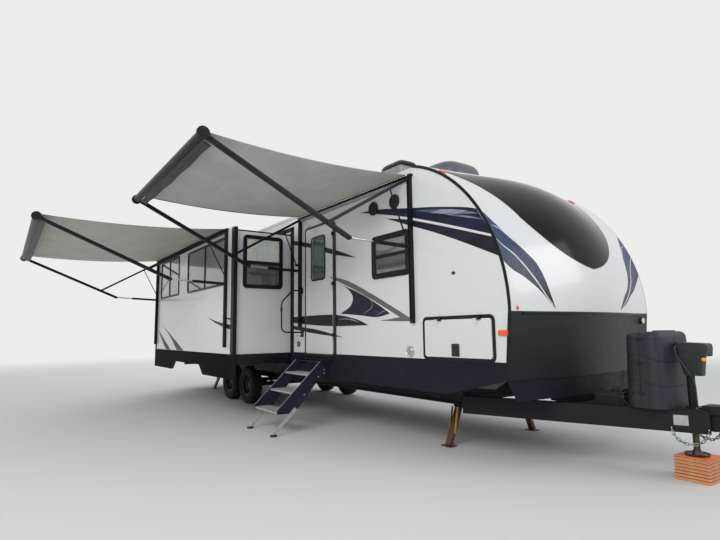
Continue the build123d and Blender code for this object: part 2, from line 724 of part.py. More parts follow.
# Moulded lines on the sides: x and z of the start and the end, and the height of the latch slots
COVER_LINES = (
    ((-270.0, 1060.0), (-60.0, 976.0)),
    ((-270.0, 832.0), (-60.0, 772.0)),
    ((-460.0, 1008.0), (-270.0, 1070.0)),
    ((-460.0, 806.0), (-270.0, 838.0)),
)
COVER_SLOTS = (1187.0, 977.0, 716.0)


def cover_body(inset):
    """Closed body of the gas cover, moved inwards all round by inset."""
    with BuildPart() as body:
        with BuildSketch(Plane.XY.offset(COVER_Z0)):
            with Locations(((COVER_X0 + COVER_X1) / 2, 0)):
                RectangleRounded(COVER_X1 - COVER_X0 - 2 * inset, 2 * (COVER_HALF - inset), 110 - inset)
        extrude(amount=COVER_TOP - inset - COVER_Z0, taper=2)
        fillet(body.faces().sort_by(Axis.Z)[-1].edges(), 55 - inset)
    return body.part


with BuildPart() as tank_cover:
    add(cover_body(0))
    with BuildPart(mode=Mode.PRIVATE) as cuts:
        with Locations((COVER_SPLIT_X, 0, (COVER_Z0 + COVER_TOP) / 2)):
            Box(GROOVE, 2 * COVER_HALF + 20, COVER_TOP - COVER_Z0 + 40)
        for start, end in COVER_LINES:
            with BuildSketch(side_plane(COVER_HALF + 20)):
                with BuildLine():
                    Polyline(
                        start,
                        end,
                        (end[0], end[1] - 2 * GROOVE),
                        (start[0], start[1] - 2 * GROOVE),
                        close=True,
                    )
                make_face()
            extrude(amount=2 * COVER_HALF + 40)
        for z in COVER_SLOTS:
            for s in (-1, 1):
                with Locations((COVER_SPLIT_X, s * COVER_HALF, z)):
                    Box(150, 60, 24)
        add(cover_body(GROOVE), mode=Mode.SUBTRACT)
    add(cuts.part, mode=Mode.SUBTRACT)
    with BuildSketch(Plane.XY.offset(COVER_TOP - 4)):
        with Locations(((COVER_SPLIT_X + COVER_X1) / 2 - 10, 0)):
            RectangleRounded(90, 300, 30)
    extrude(amount=14, taper=20)
save(tank_cover, "tank_cover")

# Battery box with an overhanging lid, on two angle bars welded between the A-frame tubes
BATTERY_Y = -150.0
BATTERY_TOP = 675.0
with BuildPart() as battery_box:
    with BuildSketch(Plane.XY.offset(TRAY_Z)):
        with Locations((BATTERY_X, BATTERY_Y)):
            RectangleRounded(290, 176, 16)
    extrude(amount=BATTERY_TOP - 24 - TRAY_Z)
    with BuildSketch(Plane.XY.offset(BATTERY_TOP - 24)):
        with Locations((BATTERY_X, BATTERY_Y)):
            RectangleRounded(312, 196, 22)
    extrude(amount=24, taper=18)
    for x in (BATTERY_X - 80, BATTERY_X + 80):
        with Locations((x, BATTERY_Y, BATTERY_TOP)):
            Box(30, 150, 12)
save(battery_box, "battery_box")

# Safety chains: links along a hanging half circle beside each A-frame tube, each turned a quarter turn
LINK_L = 46.0
LINK_W = 26.0
LINK_D = 7.0
LINK_FIT = 0.3
CHAIN_LINKS = 13
CHAIN_PITCH = LINK_L - 2 * LINK_D - LINK_FIT
CHAIN_R = CHAIN_PITCH / (2 * sin(pi / CHAIN_LINKS / 2))
CHAIN_MID = (30.0, 172.0, AFRAME_Z0 + 40)
AFRAME_SLOPE = (AFRAME_TAIL[1] - AFRAME_NOSE[1]) / (AFRAME_NOSE[0] - AFRAME_TAIL[0])
with BuildPart() as safety_chains:
    for s in (-1, 1):
        forward = Vector(1, -s * AFRAME_SLOPE, 0).normalized()
        beside = Vector(0, 0, 1).cross(forward)
        for i in range(CHAIN_LINKS):
            turn = pi * (i + 0.5) / CHAIN_LINKS
            out = forward * -cos(turn) + Vector(0, 0, -sin(turn))
            along = forward * sin(turn) + Vector(0, 0, -cos(turn))
            centre = Vector(CHAIN_MID[0], s * CHAIN_MID[1], CHAIN_MID[2]) + out * CHAIN_R
            normal = beside if i % 2 else out
            with BuildSketch(Plane(origin=centre, x_dir=along, z_dir=normal)):
                SlotOverall(LINK_L, LINK_W)
                SlotOverall(LINK_L - 2 * LINK_D, LINK_W - 2 * LINK_D, mode=Mode.SUBTRACT)
            extrude(amount=LINK_D / 2, both=True)
save(safety_chains, "safety_chains")

# Running gear: axle beams with drums, leaf springs and hangers
SPRING_Z = WHEEL_R + AXLE_R + 15
with BuildPart() as running_gear:
    for x in AXLE_X:
        with BuildSketch(Plane.XZ.offset(-(WHEEL_Y - 95))):
            with Locations((x, WHEEL_R)):
                Circle(AXLE_R)
        extrude(amount=2 * (WHEEL_Y - 95))
        for s in (-1, 1):
            with BuildSketch(Plane.XZ.offset(s * (WHEEL_Y - 95))):
                with Locations((x, WHEEL_R)):
                    Circle(DRUM_R)
            extrude(amount=s * 70)
            with BuildSketch(Plane.XZ.offset(s * (RAIL_Y - 30))):
                with BuildLine():
                    ThreePointArc((x - 330, SPRING_Z + 55), (x, SPRING_Z), (x + 330, SPRING_Z + 55))
                    Line((x + 330, SPRING_Z + 55), (x + 330, SPRING_Z + 75))
                    ThreePointArc((x + 330, SPRING_Z + 75), (x, SPRING_Z + 45), (x - 330, SPRING_Z + 75))
                    Line((x - 330, SPRING_Z + 75), (x - 330, SPRING_Z + 55))
                make_face()
            extrude(amount=s * 60)
            with Locations((x, s * RAIL_Y, WHEEL_R + 25)):
                Box(90, 60, 70)
            for t in (-1, 1):
                with Locations((x + t * 330, s * RAIL_Y, (SPRING_Z + 40 + RAIL_Z0) / 2)):
                    Box(60, 66, RAIL_Z0 - SPRING_Z - 40)
save(running_gear, "running_gear")


# Tyre, and rim with a dished disc, a hub cap and a ring of hand holes
HUB_BACK = 24.7


def make_wheel(x, side, tyre_name, rim_name):
    centre = (x, side * WHEEL_Y, WHEEL_R)
    section = Plane(origin=centre, x_dir=(0, side, 0), z_dir=(side, 0, 0))
    spin = Axis(centre, (0, 1, 0))
    half = TYRE_W / 2
    with BuildPart() as tyre:
        with BuildSketch(section):
            with BuildLine():
                Polyline(
                    (-half + 22, RIM_R + JACK_FIT),
                    (-half, RIM_R + 45),
                    (-half + 6, WHEEL_R - 45),
                    (-half + 28, WHEEL_R - 8),
                    (-half + 50, WHEEL_R),
                    (half - 50, WHEEL_R),
                    (half - 28, WHEEL_R - 8),
                    (half - 6, WHEEL_R - 45),
                    (half, RIM_R + 45),
                    (half - 22, RIM_R + JACK_FIT),
                    close=True,
                )
            make_face()
        revolve(axis=spin)
    save(tyre, tyre_name)
    with BuildPart() as rim:
        with BuildSketch(section):
            with BuildLine():
                Polyline(
                    (-half + 20, RIM_R),
                    (half - 20, RIM_R),
                    (half - 26, RIM_R - 18),
                    (-half + 20, RIM_R - 18),
                    close=True,
                )
            make_face()
        revolve(axis=spin)
        with BuildSketch(section):
            with BuildLine():
                Polyline(
                    (-HUB_BACK, 0),
                    (-HUB_BACK, 88),
                    (-8, 98),
                    (2, 150),
                    (20, RIM_R - 16),
                    (29, RIM_R - 16),
                    (11, 148),
                    (2, 98),
                    (-4, 74),
                    (-8, 56),
                    (30, 50),
                    (36, 44),
                    (36, 0),
                    close=True,
                )
            make_face()
        revolve(axis=spin)
        window_plane = Plane(
            origin=(x, side * (WHEEL_Y + 40), WHEEL_R), x_dir=(1, 0, 0), z_dir=(0, side, 0)
        )
        with BuildSketch(window_plane):
            with PolarLocations(126, 8):
                RectangleRounded(36, 44, 14)
        extrude(amount=-80, mode=Mode.SUBTRACT)
    save(rim, rim_name)


for x, place in zip(AXLE_X, ("front", "rear")):
    for side, side_name in ((-1, "curb"), (1, "road")):
        make_wheel(x, side, "tyre_" + place + "_" + side_name, "rim_" + place + "_" + side_name)


# Frames of the entry door and the baggage door, with the fixed hinge knuckles
def opening_frame(x0, x1, z0, z1):
    with BuildPart() as frame:
        with BuildSketch(side_plane(-HALF)):
            rect_at(x0, x1, z0, z1, CORNER_R)
            rect_inner(x0, x1, z0, z1)
        extrude(amount=FRAME_PROUD)
        with BuildSketch(side_plane(-HALF)):
            rect_at(x0, x1, z0, z1, CORNER_R, -FRAME_LAP)
            rect_inner(x0, x1, z0, z1)
        extrude(amount=-WALL)
    return frame.part


def rect_inner(x0, x1, z0, z1):
    with Locations(((x0 + x1) / 2, (z0 + z1) / 2)):
        RectangleRounded(
            x1 - x0 - 2 * FRAME_W, z1 - z0 - 2 * FRAME_W, CORNER_R - FRAME_W, mode=Mode.SUBTRACT
        )


DOOR_FACE_Y = -HALF - DOOR_PROUD
HINGE_Y = DOOR_FACE_Y - HINGE_OUT
DOOR_INSET = FRAME_W + DOOR_GAP
DOOR_HINGE_X = DOOR_X1 - DOOR_INSET - HINGE_IN
BAG_HINGE_Z = BAG_Z1 - DOOR_INSET - HINGE_IN
DOOR_HINGES = (1180.0, 1880.0, 2580.0)
KNUCKLE = 45.0
KNUCKLE_GAP = 0.3


def hinge_bits(place, length, moving):
    """Knuckle and leaf of one hinge half. Local x points from the door to its frame, local y outwards."""
    with BuildPart() as bits:
        with BuildSketch(place):
            Circle(HINGE_R)
            if moving:
                with Locations((-22, -HINGE_OUT / 2)):
                    Rectangle(44, HINGE_OUT)
            else:
                reach = HINGE_IN + DOOR_GAP + FRAME_W
                with Locations((reach / 2, 2)):
                    Rectangle(reach, 8)
                down = HINGE_OUT + DOOR_PROUD - FRAME_PROUD
                with Locations((reach - 9, -down / 2 + 2)):
                    Rectangle(18, down + 4)
        extrude(amount=length)
    return bits.part


with BuildPart() as door_frame:
    add(opening_frame(DOOR_X0, DOOR_X1, DOOR_Z0, DOOR_Z1))
    add(opening_frame(BAG_X0, BAG_X1, BAG_Z0, BAG_Z1))
    for z in DOOR_HINGES:
        flip = Plane(origin=(DOOR_HINGE_X, HINGE_Y, z + 2 * KNUCKLE + KNUCKLE_GAP), x_dir=(1, 0, 0), z_dir=(0, 0, -1))
        add(hinge_bits(flip, KNUCKLE, False))
    for x in (BAG_X0 + 200, BAG_X1 - 200 - KNUCKLE):
        place = Plane(origin=(x + KNUCKLE + KNUCKLE_GAP, HINGE_Y, BAG_HINGE_Z), x_dir=(0, 0, 1), z_dir=(1, 0, 0))
        add(hinge_bits(place, KNUCKLE, False))
save(door_frame, "door_frame")

DOOR_WINDOW = (-4445.0, -4087.0, 2050.0, 2650.0)
with BuildPart() as entry_door:
    with BuildSketch(side_plane(DOOR_FACE_Y)):
        with Locations(((DOOR_X0 + DOOR_X1) / 2, (DOOR_Z0 + DOOR_Z1) / 2)):
            RectangleRounded(
                DOOR_X1 - DOOR_X0 - 2 * DOOR_INSET, DOOR_Z1 - DOOR_Z0 - 2 * DOOR_INSET, CORNER_R - FRAME_W
            )
        with Locations(((DOOR_WINDOW[0] + DOOR_WINDOW[1]) / 2, (DOOR_WINDOW[2] + DOOR_WINDOW[3]) / 2)):
            RectangleRounded(
                DOOR_WINDOW[1] - DOOR_WINDOW[0], DOOR_WINDOW[3] - DOOR_WINDOW[2], 45, mode=Mode.SUBTRACT
            )
    extrude(amount=-DOOR_T)
    with BuildSketch(side_plane(DOOR_FACE_Y)):
        with Locations((DOOR_X0 + 90, 1880)):
            RectangleRounded(90, 150, 12)
    extrude(amount=8)
    with BuildSketch(side_plane(DOOR_FACE_Y - 8)):
        with Locations((DOOR_X0 + 100, 1880)):
            RectangleRounded(36, 120, 10)
    extrude(amount=14, taper=10)
    for z in DOOR_HINGES:
        place = Plane(origin=(DOOR_HINGE_X, HINGE_Y, z + KNUCKLE), x_dir=(1, 0, 0), z_dir=(0, 0, -1))
        add(hinge_bits(place, KNUCKLE, True))
save(entry_door, "entry_door")

with BuildPart() as door_glass:
    with BuildSketch(side_plane(DOOR_FACE_Y + 10)):
        with Locations(((DOOR_WINDOW[0] + DOOR_WINDOW[1]) / 2, (DOOR_WINDOW[2] + DOOR_WINDOW[3]) / 2)):
            RectangleRounded(DOOR_WINDOW[1] - DOOR_WINDOW[0], DOOR_WINDOW[3] - DOOR_WINDOW[2], 45)
    extrude(amount=-GLASS_T)
save(door_glass, "door_glass")

with BuildPart() as baggage_door:
    with BuildSketch(side_plane(DOOR_FACE_Y)):
        with Locations(((BAG_X0 + BAG_X1) / 2, (BAG_Z0 + BAG_Z1) / 2)):
            RectangleRounded(
                BAG_X1 - BAG_X0 - 2 * DOOR_INSET, BAG_Z1 - BAG_Z0 - 2 * DOOR_INSET, CORNER_R - FRAME_W
            )
    extrude(amount=-DOOR_T)
    with Locations((-1590, DOOR_FACE_Y - 5, 1110)):
        Box(60, 10, 45)
    for x in (BAG_X0 + 200, BAG_X1 - 200 - KNUCKLE):
        place = Plane(origin=(x, HINGE_Y, BAG_HINGE_Z), x_dir=(0, 0, 1), z_dir=(1, 0, 0))
        add(hinge_bits(place, KNUCKLE, True))
save(baggage_door, "baggage_door")

# Slide-out: a sleeve through the wall, closed by its outer wall
BOX_X0 = SLIDE_X0 + SLIDE_LAP
BOX_X1 = SLIDE_X1 - SLIDE_LAP
BOX_TOP = SLIDE_TOP_Z - SLIDE_LAP
BOX_FRONT_Y = SLIDE_FACE_Y + WALL
RUNNER_H = SLIDE_FLOOR_Z - DECK_TOP - KNUCKLE_GAP
with BuildPart() as slide_box:
    with BuildSketch(side_plane(BOX_FRONT_Y)):
        with Locations(((BOX_X0 + BOX_X1) / 2, (SLIDE_FLOOR_Z + BOX_TOP) / 2)):
            Rectangle(BOX_X1 - BOX_X0, BOX_TOP - SLIDE_FLOOR_Z)
            Rectangle(
                BOX_X1 - BOX_X0 - 2 * SLIDE_WALL, BOX_TOP - SLIDE_FLOOR_Z - 2 * SLIDE_WALL, mode=Mode.SUBTRACT
            )
    extrude(amount=-(SLIDE_INNER_Y - BOX_FRONT_Y))
    y0, y1, z0, z1 = SLIDE_END_WINDOW
    with BuildSketch(Plane.YZ.offset(BOX_X1)):
        rect_at(y0, y1, z0, z1, CORNER_R, -WINDOW_LAP)
    extrude(amount=-SLIDE_WALL, mode=Mode.SUBTRACT)
    for x in (BOX_X0 + 400, (BOX_X0 + BOX_X1) / 2, BOX_X1 - 400):
        with Locations((x, (SLIDE_INNER_Y - HALF + WALL) / 2, SLIDE_FLOOR_Z - RUNNER_H / 2)):
            Box(80, SLIDE_INNER_Y + HALF - WALL, RUNNER_H)
save(slide_box, "slide_box")

with BuildPart() as slide_fascia:
    with BuildSketch(side_plane(SLIDE_FACE_Y)):
        with Locations(((SLIDE_X0 + SLIDE_X1) / 2, (SLIDE_SKIRT_Z + SLIDE_TOP_Z) / 2)):
            Rectangle(SLIDE_X1 - SLIDE_X0, SLIDE_TOP_Z - SLIDE_SKIRT_Z)
        with BuildLine():
            Polyline(
                (ARCH_X0, SLIDE_SKIRT_Z - 1),
                (ARCH_X0 + 200, ARCH_TOP),
                (ARCH_X1 - 200, ARCH_TOP),
                (ARCH_X1, SLIDE_SKIRT_Z - 1),
                close=True,
            )
        make_face(mode=Mode.SUBTRACT)
        for x0, x1, z0, z1 in SLIDE_WINDOWS:
            with Locations(((x0 + x1) / 2, (z0 + z1) / 2)):
                RectangleRounded(
                    x1 - x0 - 2 * WINDOW_LAP, z1 - z0 - 2 * WINDOW_LAP, CORNER_R - WINDOW_LAP,
                    mode=Mode.SUBTRACT,
                )
    extrude(amount=-WALL)
save(slide_fascia, "slide_fascia")

SLIDE_FACE = Plane(origin=(0, SLIDE_FACE_Y, 0), x_dir=(1, 0, 0), z_dir=(0, -1, 0))
SLIDE_END = Plane(origin=(BOX_X1, 0, 0), x_dir=(0, 1, 0), z_dir=(1, 0, 0))
with BuildPart() as slide_frames:
    for x0, x1, z0, z1 in SLIDE_WINDOWS:
        add(window_ring(SLIDE_FACE, x0, x1, z0, z1, WALL, divider_x=(x0 + x1) / 2))
    y0, y1, z0, z1 = SLIDE_END_WINDOW
    add(window_ring(SLIDE_END, y0, y1, z0, z1, SLIDE_WALL, divider_z=(z0 + z1) / 2))
save(slide_frames, "slide_frames")

with BuildPart() as slide_glass:
    for x0, x1, z0, z1 in SLIDE_WINDOWS:
        add(window_pane(SLIDE_FACE, x0, x1, z0, z1))
    add(window_pane(SLIDE_END, *SLIDE_END_WINDOW))
save(slide_glass, "slide_glass")


# Trim of the slide-out's face: corner posts and the low band
SLIDE_TRIM_T = 5.0
SLIDE_TRIM_W = 26.0
SLIDE_BAND = (830.0, 980.0)
with BuildPart() as slide_trim:
    with BuildSketch(SLIDE_FACE):
        for x in (SLIDE_X0 + SLIDE_TRIM_W / 2, SLIDE_X1 - SLIDE_TRIM_W / 2):
            with Locations((x, (SLIDE_SKIRT_Z + SLIDE_AWN_RAIL_Z - 2) / 2)):
                Rectangle(SLIDE_TRIM_W, SLIDE_AWN_RAIL_Z - 2 - SLIDE_SKIRT_Z)
        with Locations(((SLIDE_X0 + SLIDE_X1) / 2, sum(SLIDE_BAND) / 2)):
            Rectangle(SLIDE_X1 - SLIDE_X0, SLIDE_BAND[1] - SLIDE_BAND[0])
    extrude(amount=SLIDE_TRIM_T)
save(slide_trim, "slide_trim")


def link(x, width, depth, start, end):
    """Flat bar with round ends in the plane across the caravan at x, between two (y, z) points."""
    length = hypot(end[0] - start[0], end[1] - start[1])
    turn = degrees(atan2(end[1] - start[1], end[0] - start[0]))
    with BuildPart() as bar:
        with BuildSketch(Plane.YZ.offset(x - width / 2)):
            with Locations(((start[0] + end[0]) / 2, (start[1] + end[1]) / 2)):
                SlotCenterToCenter(length, depth, rotation=turn)
        extrude(amount=width)
    return bar.part


def awning_frame(planes, wall_y, rail_z, post_z0, roller_y, roller_z, pivot, elbow, cross):
    """Posts, folding arms, roller and rail of one awning. Points are (y, z)."""
    post_y = wall_y - POST_D / 2
    shoulder = (post_y, rail_z - 20)
    # Lower arm: a channel for 60 % of its length, then the rod of its gas spring
    rod = tuple(a + 0.6 * (b - a) for a, b in zip(pivot, elbow))
    # Thin strut: from the upper link back to its eye above the lower pivot
    strut = tuple(a + 0.26 * (b - a) for a, b in zip(shoulder, cross))
    eye = (pivot[0], pivot[1] + 86)
    far = min(planes) - 40
    near = max(planes) + 40
    with BuildPart() as awning:
        for x in planes:
            with Locations((x, post_y, (post_z0 + rail_z) / 2)):
                Box(POST_W, POST_D, rail_z - post_z0)
            with Locations((x, wall_y - POST_D, (post_z0 + rail_z) / 2)):
                Box(POST_W - 24, 24, rail_z - post_z0 - 60, mode=Mode.SUBTRACT)
            add(link(x, 34, 46, elbow, (roller_y, roller_z)))
            add(link(x, 44, 20, elbow, (roller_y, roller_z)))
            add(link(x, 22, 40, pivot, rod))
            add(link(x, 14, 18, rod, elbow))
            add(link(x, 22, 34, shoulder, cross))
            add(link(x, 10, 14, strut, eye))
            for end in (pivot, eye):
                add(link(x, 30, 34, (post_y, end[1]), end))
            for end in (elbow, cross, pivot):
                with BuildSketch(Plane.YZ.offset(x - 26)):
                    with Locations(end):
                        Circle(13)
                extrude(amount=52)
        with BuildSketch(Plane.YZ.offset(far)):
            with Locations((roller_y, roller_z)):
                Circle(ROLLER_R)
        extrude(amount=near - far)
        for x in (far, near - 24):
            with BuildSketch(Plane.YZ.offset(x)):
                with Locations((roller_y, roller_z)):
                    Circle(ROLLER_R + 16)
            extrude(amount=24)
        with Locations(((near + far) / 2, post_y, rail_z + 10)):
            Box(near - far, POST_D, 20)
    return awning


def awning_cloth(planes, wall_y, rail_z, roller_y, roller_z, sag):
    """Cloth from the rail to the top of the roller."""
    start = (wall_y - POST_D - 0.3, rail_z + 16)
    end = (roller_y, roller_z + ROLLER_R + 0.3)
    mid = ((start[0] + end[0]) / 2, (start[1] + end[1]) / 2 - sag)
    far = min(planes) + 30
    near = max(planes) - 30
    with BuildPart() as cloth:
        with BuildSketch(Plane.YZ.offset(far)):
            with BuildLine():
                ThreePointArc(start, mid, end)
                Line(end, (end[0], end[1] + FABRIC_T))
                ThreePointArc((end[0], end[1] + FABRIC_T), (mid[0], mid[1] + FABRIC_T), (start[0], start[1] + FABRIC_T))
                Line((start[0], start[1] + FABRIC_T), start)
            make_face()
        extrude(amount=near - far)
    return cloth


awning_a = awning_frame(
    AWN_X, -HALF, AWN_RAIL_Z, 1370, AWN_ROLLER_Y, AWN_ROLLER_Z,
    (-HALF - 87, 2217), (-HALF - 850, 2240), (-HALF - 1110, 2369),
)
save(awning_a, "awning_frame")
cloth_a = awning_cloth(AWN_X, -HALF, AWN_RAIL_Z, AWN_ROLLER_Y, AWN_ROLLER_Z, 25)
save(cloth_a, "awning_cloth")

awning_b = awning_frame(
    SLIDE_AWN_X, SLIDE_FACE_Y, SLIDE_AWN_RAIL_Z, 1080, SLIDE_AWN_ROLLER_Y, SLIDE_AWN_ROLLER_Z,
    (SLIDE_FACE_Y - 20, 2030), (SLIDE_FACE_Y - 834, 2065), (SLIDE_FACE_Y - 1134, 2193),
)
save(awning_b, "slide_awning_frame")
cloth_b = awning_cloth(SLIDE_AWN_X, SLIDE_FACE_Y, SLIDE_AWN_RAIL_Z, SLIDE_AWN_ROLLER_Y, SLIDE_AWN_ROLLER_Z, 25)
save(cloth_b, "slide_awning_cloth")

# Steps: bracket under the threshold, folding frame with three treads and two legs
# Treads: y and z of the top front edge
TREADS = tuple((STEP_PIVOT_Y - 230 - i * TREAD_RUN, 735.0 - i * TREAD_RISE) for i in range(3))
STEP_FOOT = (STEP_PIVOT_Y - 745, 0.0)
with BuildPart() as step_bracket:
    with BuildSketch(Plane.YZ.offset(STEP_X0 - 20)):
        with BuildLine():
            Polyline(
                (-HALF, DOOR_Z0 - 25),
                (-HALF, DOOR_Z0 - 39),
                (-HALF - STEP_SILL, DOOR_Z0 - 53),
                (-HALF - STEP_SILL, DOOR_Z0 - 45),
                close=True,
            )
        make_face()
    extrude(amount=STEP_X1 - STEP_X0 + 40)
    for x in (STEP_X0 - 16, STEP_X1 + 16):
        with BuildSketch(Plane.YZ.offset(x - 4)):
            with BuildLine():
                Polyline(
                    (-HALF, DOOR_Z0 - 31),
                    (-HALF, DOOR_Z0 - 120),
                    (STEP_PIVOT_Y - 25, STEP_PIVOT_Z - 25),
                    (STEP_PIVOT_Y - 25, DOOR_Z0 - 45),
                    (-HALF - STEP_SILL, DOOR_Z0 - 31),
                    close=True,
                )
            make_face()
        extrude(amount=8)
save(step_bracket, "step_bracket")

with BuildPart() as step_frame:
    for x in (STEP_X0, STEP_X1 - STRINGER_T):
        with BuildSketch(Plane.YZ.offset(x)):
            with BuildLine():
                low = (TREADS[2][0] + TREAD_D, TREADS[2][1] - 30)
                heel = (STEP_PIVOT_Y + 22, STEP_PIVOT_Z - 120)
                Polyline(
                    heel,
                    (STEP_PIVOT_Y + 22, STEP_PIVOT_Z + 22),
                    (STEP_PIVOT_Y - 60, STEP_PIVOT_Z + 15),
                    (TREADS[2][0] - 6, TREADS[2][1] + 20),
                    (TREADS[2][0] - 6, TREADS[2][1] - 30),
                    low,
                )
                ThreePointArc(low, ((low[0] + heel[0]) / 2 - 30, (low[1] + heel[1]) / 2 + 26), heel)
            make_face()
        extrude(amount=STRINGER_T)
    with BuildSketch(Plane.YZ.offset(STEP_X0 - 12)):
        with Locations((STEP_PIVOT_Y, STEP_PIVOT_Z)):
            Circle(10)
    extrude(amount=STEP_X1 - STEP_X0 + 24)
save(step_frame, "step_frame")

# Treads: folded pans with a round nosing and grip grooves; two legs on the stringers' outer faces
TREAD_SKIN = 8.0
TREAD_GROOVES = 6
LEG_T = 26.0
LEG_TOP = (STEP_FOOT[0] + 310, 315.0)
with BuildPart() as step_treads:
    for y, z in TREADS:
        nose = TREAD_T / 2
        back = y + TREAD_D
        with BuildSketch(Plane.YZ.offset(STEP_X0 + STRINGER_T)):
            with BuildLine():
                ThreePointArc((y + nose, z), (y, z - nose), (y + nose, z - TREAD_T))
                Polyline(
                    (y + nose, z - TREAD_T),
                    (y + 2 * nose, z - TREAD_T),
                    (y + 2 * nose, z - TREAD_SKIN),
                    (back - 10, z - TREAD_SKIN),
                    (back - 10, z - TREAD_T),
                    (back, z - TREAD_T),
                    (back, z),
                    (y + nose, z),
                )
            make_face()
            for i in range(TREAD_GROOVES):
                with Locations((y + 40 + i * 28, z)):
                    Rectangle(6, 5, mode=Mode.SUBTRACT)
        extrude(amount=STEP_X1 - STEP_X0 - 2 * STRINGER_T)
    for x in (STEP_X0 - LEG_T / 2, STEP_X1 + LEG_T / 2):
        with BuildSketch(Plane.YZ.offset(x - LEG_T / 2)):
            with BuildLine():
                Polyline(
                    (LEG_TOP[0] + 15, LEG_TOP[1] - 15),
                    (LEG_TOP[0] - 15, LEG_TOP[1] + 15),
                    (STEP_FOOT[0] - 20, STEP_FOOT[1] + 20),
                    (STEP_FOOT[0] + 22, STEP_FOOT[1] + 20),
                    close=True,
                )
            make_face()
        extrude(amount=LEG_T)
        with BuildSketch(Plane.XY.offset(STEP_FOOT[1])):
            with Locations((x, STEP_FOOT[0])):
                RectangleRounded(70, 84, 20)
        extrude(amount=24, taper=12)
save(step_treads, "step_treads")

# Stabilisers: pivoted leg with a foot and two brace bars on its sides, its pin turning in the
# two ears of a bracket
STAB_BRACE = ((STAB_PIVOT[0] + 75, 413.0), (STAB_PIVOT[0] + 128, 143.0))
BRACE_T = 6.0
for x, place in zip(STAB_X, ("front", "rear")):
    for side, side_name in ((-1, "curb"), (1, "road")):
        with BuildPart() as stabiliser:
            with BuildSketch(Plane.YZ.offset(x - STAB_T / 2)):
                with BuildLine():
                    Polyline(
                        (side * (STAB_PIVOT[0] - 18), STAB_PIVOT[1] - 12),
                        (side * (STAB_PIVOT[0] + 18), STAB_PIVOT[1] + 12),
                        (side * (STAB_FOOT[0] + 20), STAB_FOOT[1] + 20),
                        (side * (STAB_FOOT[0] - 25), STAB_FOOT[1] + 8),
                        close=True,
                    )
                make_face()
                with Locations((side * STAB_PIVOT[0], STAB_PIVOT[1])):
                    Circle(22)
            extrude(amount=STAB_T)
            with BuildSketch(Plane.YZ.offset(x - STAB_T / 2 - EAR_T)):
                with Locations((side * STAB_PIVOT[0], STAB_PIVOT[1])):
                    Circle(PIN_R)
            extrude(amount=STAB_T + 2 * EAR_T)
            with Locations((x, side * STAB_FOOT[0], 5)):
                Box(150, 110, 10)
            for t in (-1, 1):
                top, low = ((side * y, z) for y, z in STAB_BRACE)
                add(link(x + t * (STAB_T + BRACE_T) / 2, BRACE_T, 22, top, low))
        save(stabiliser, "stabiliser_" + place + "_" + side_name)

with BuildPart() as stabiliser_mounts:
    for x in STAB_X:
        for side in (-1, 1):
            for ear in (x - STAB_T / 2 - SIDE_FIT - EAR_T, x + STAB_T / 2 + SIDE_FIT):
                with BuildSketch(Plane.YZ.offset(ear)):
                    with Locations((side * STAB_PIVOT[0], (STAB_PIVOT[1] - 25 + RAIL_Z0 + RAIL_FLANGE) / 2)):
                        Rectangle(90, RAIL_Z0 + RAIL_FLANGE - STAB_PIVOT[1] + 25)
                    with Locations((side * STAB_PIVOT[0], STAB_PIVOT[1])):
                        Circle(PIN_R + PIN_FIT, mode=Mode.SUBTRACT)
                extrude(amount=EAR_T)
            with Locations((x, side * STAB_PIVOT[0], RAIL_Z0 + RAIL_FLANGE - 4)):
                Box(STAB_T + 2 * SIDE_FIT + 2 * EAR_T, 130, 8)
save(stabiliser_mounts, "stabiliser_mounts")

# Rear bumper and lamps
with BuildPart() as rear_bumper:
    with Locations((BODY_REAR - 100, 0, 600)):
        Box(100, BODY_WIDTH - 100, 100)
    for s in (-1, 1):
        with Locations((BODY_REAR - 25 + WALL / 2, s * RAIL_Y, 600)):
            Box(50 + WALL, RAIL_W, 80)
save(rear_bumper, "rear_bumper")

with BuildPart() as tail_lamps:
    for s in (-1, 1):
        with Locations((BODY_REAR - 10, s * (HALF - 170), 1150)):
            Box(20, 150, 280)
save(tail_lamps, "tail_lamps")

with BuildPart() as marker_lamps:
    for s in (-1, 1):
        with BuildSketch(face_plane(s)):
            with Locations((s * 1000, 1255)):
                RectangleRounded(112, 54, 14)
        extrude(amount=20, taper=15)
    add(cap_trim.part, mode=Mode.SUBTRACT)
save(marker_lamps, "marker_lamps")

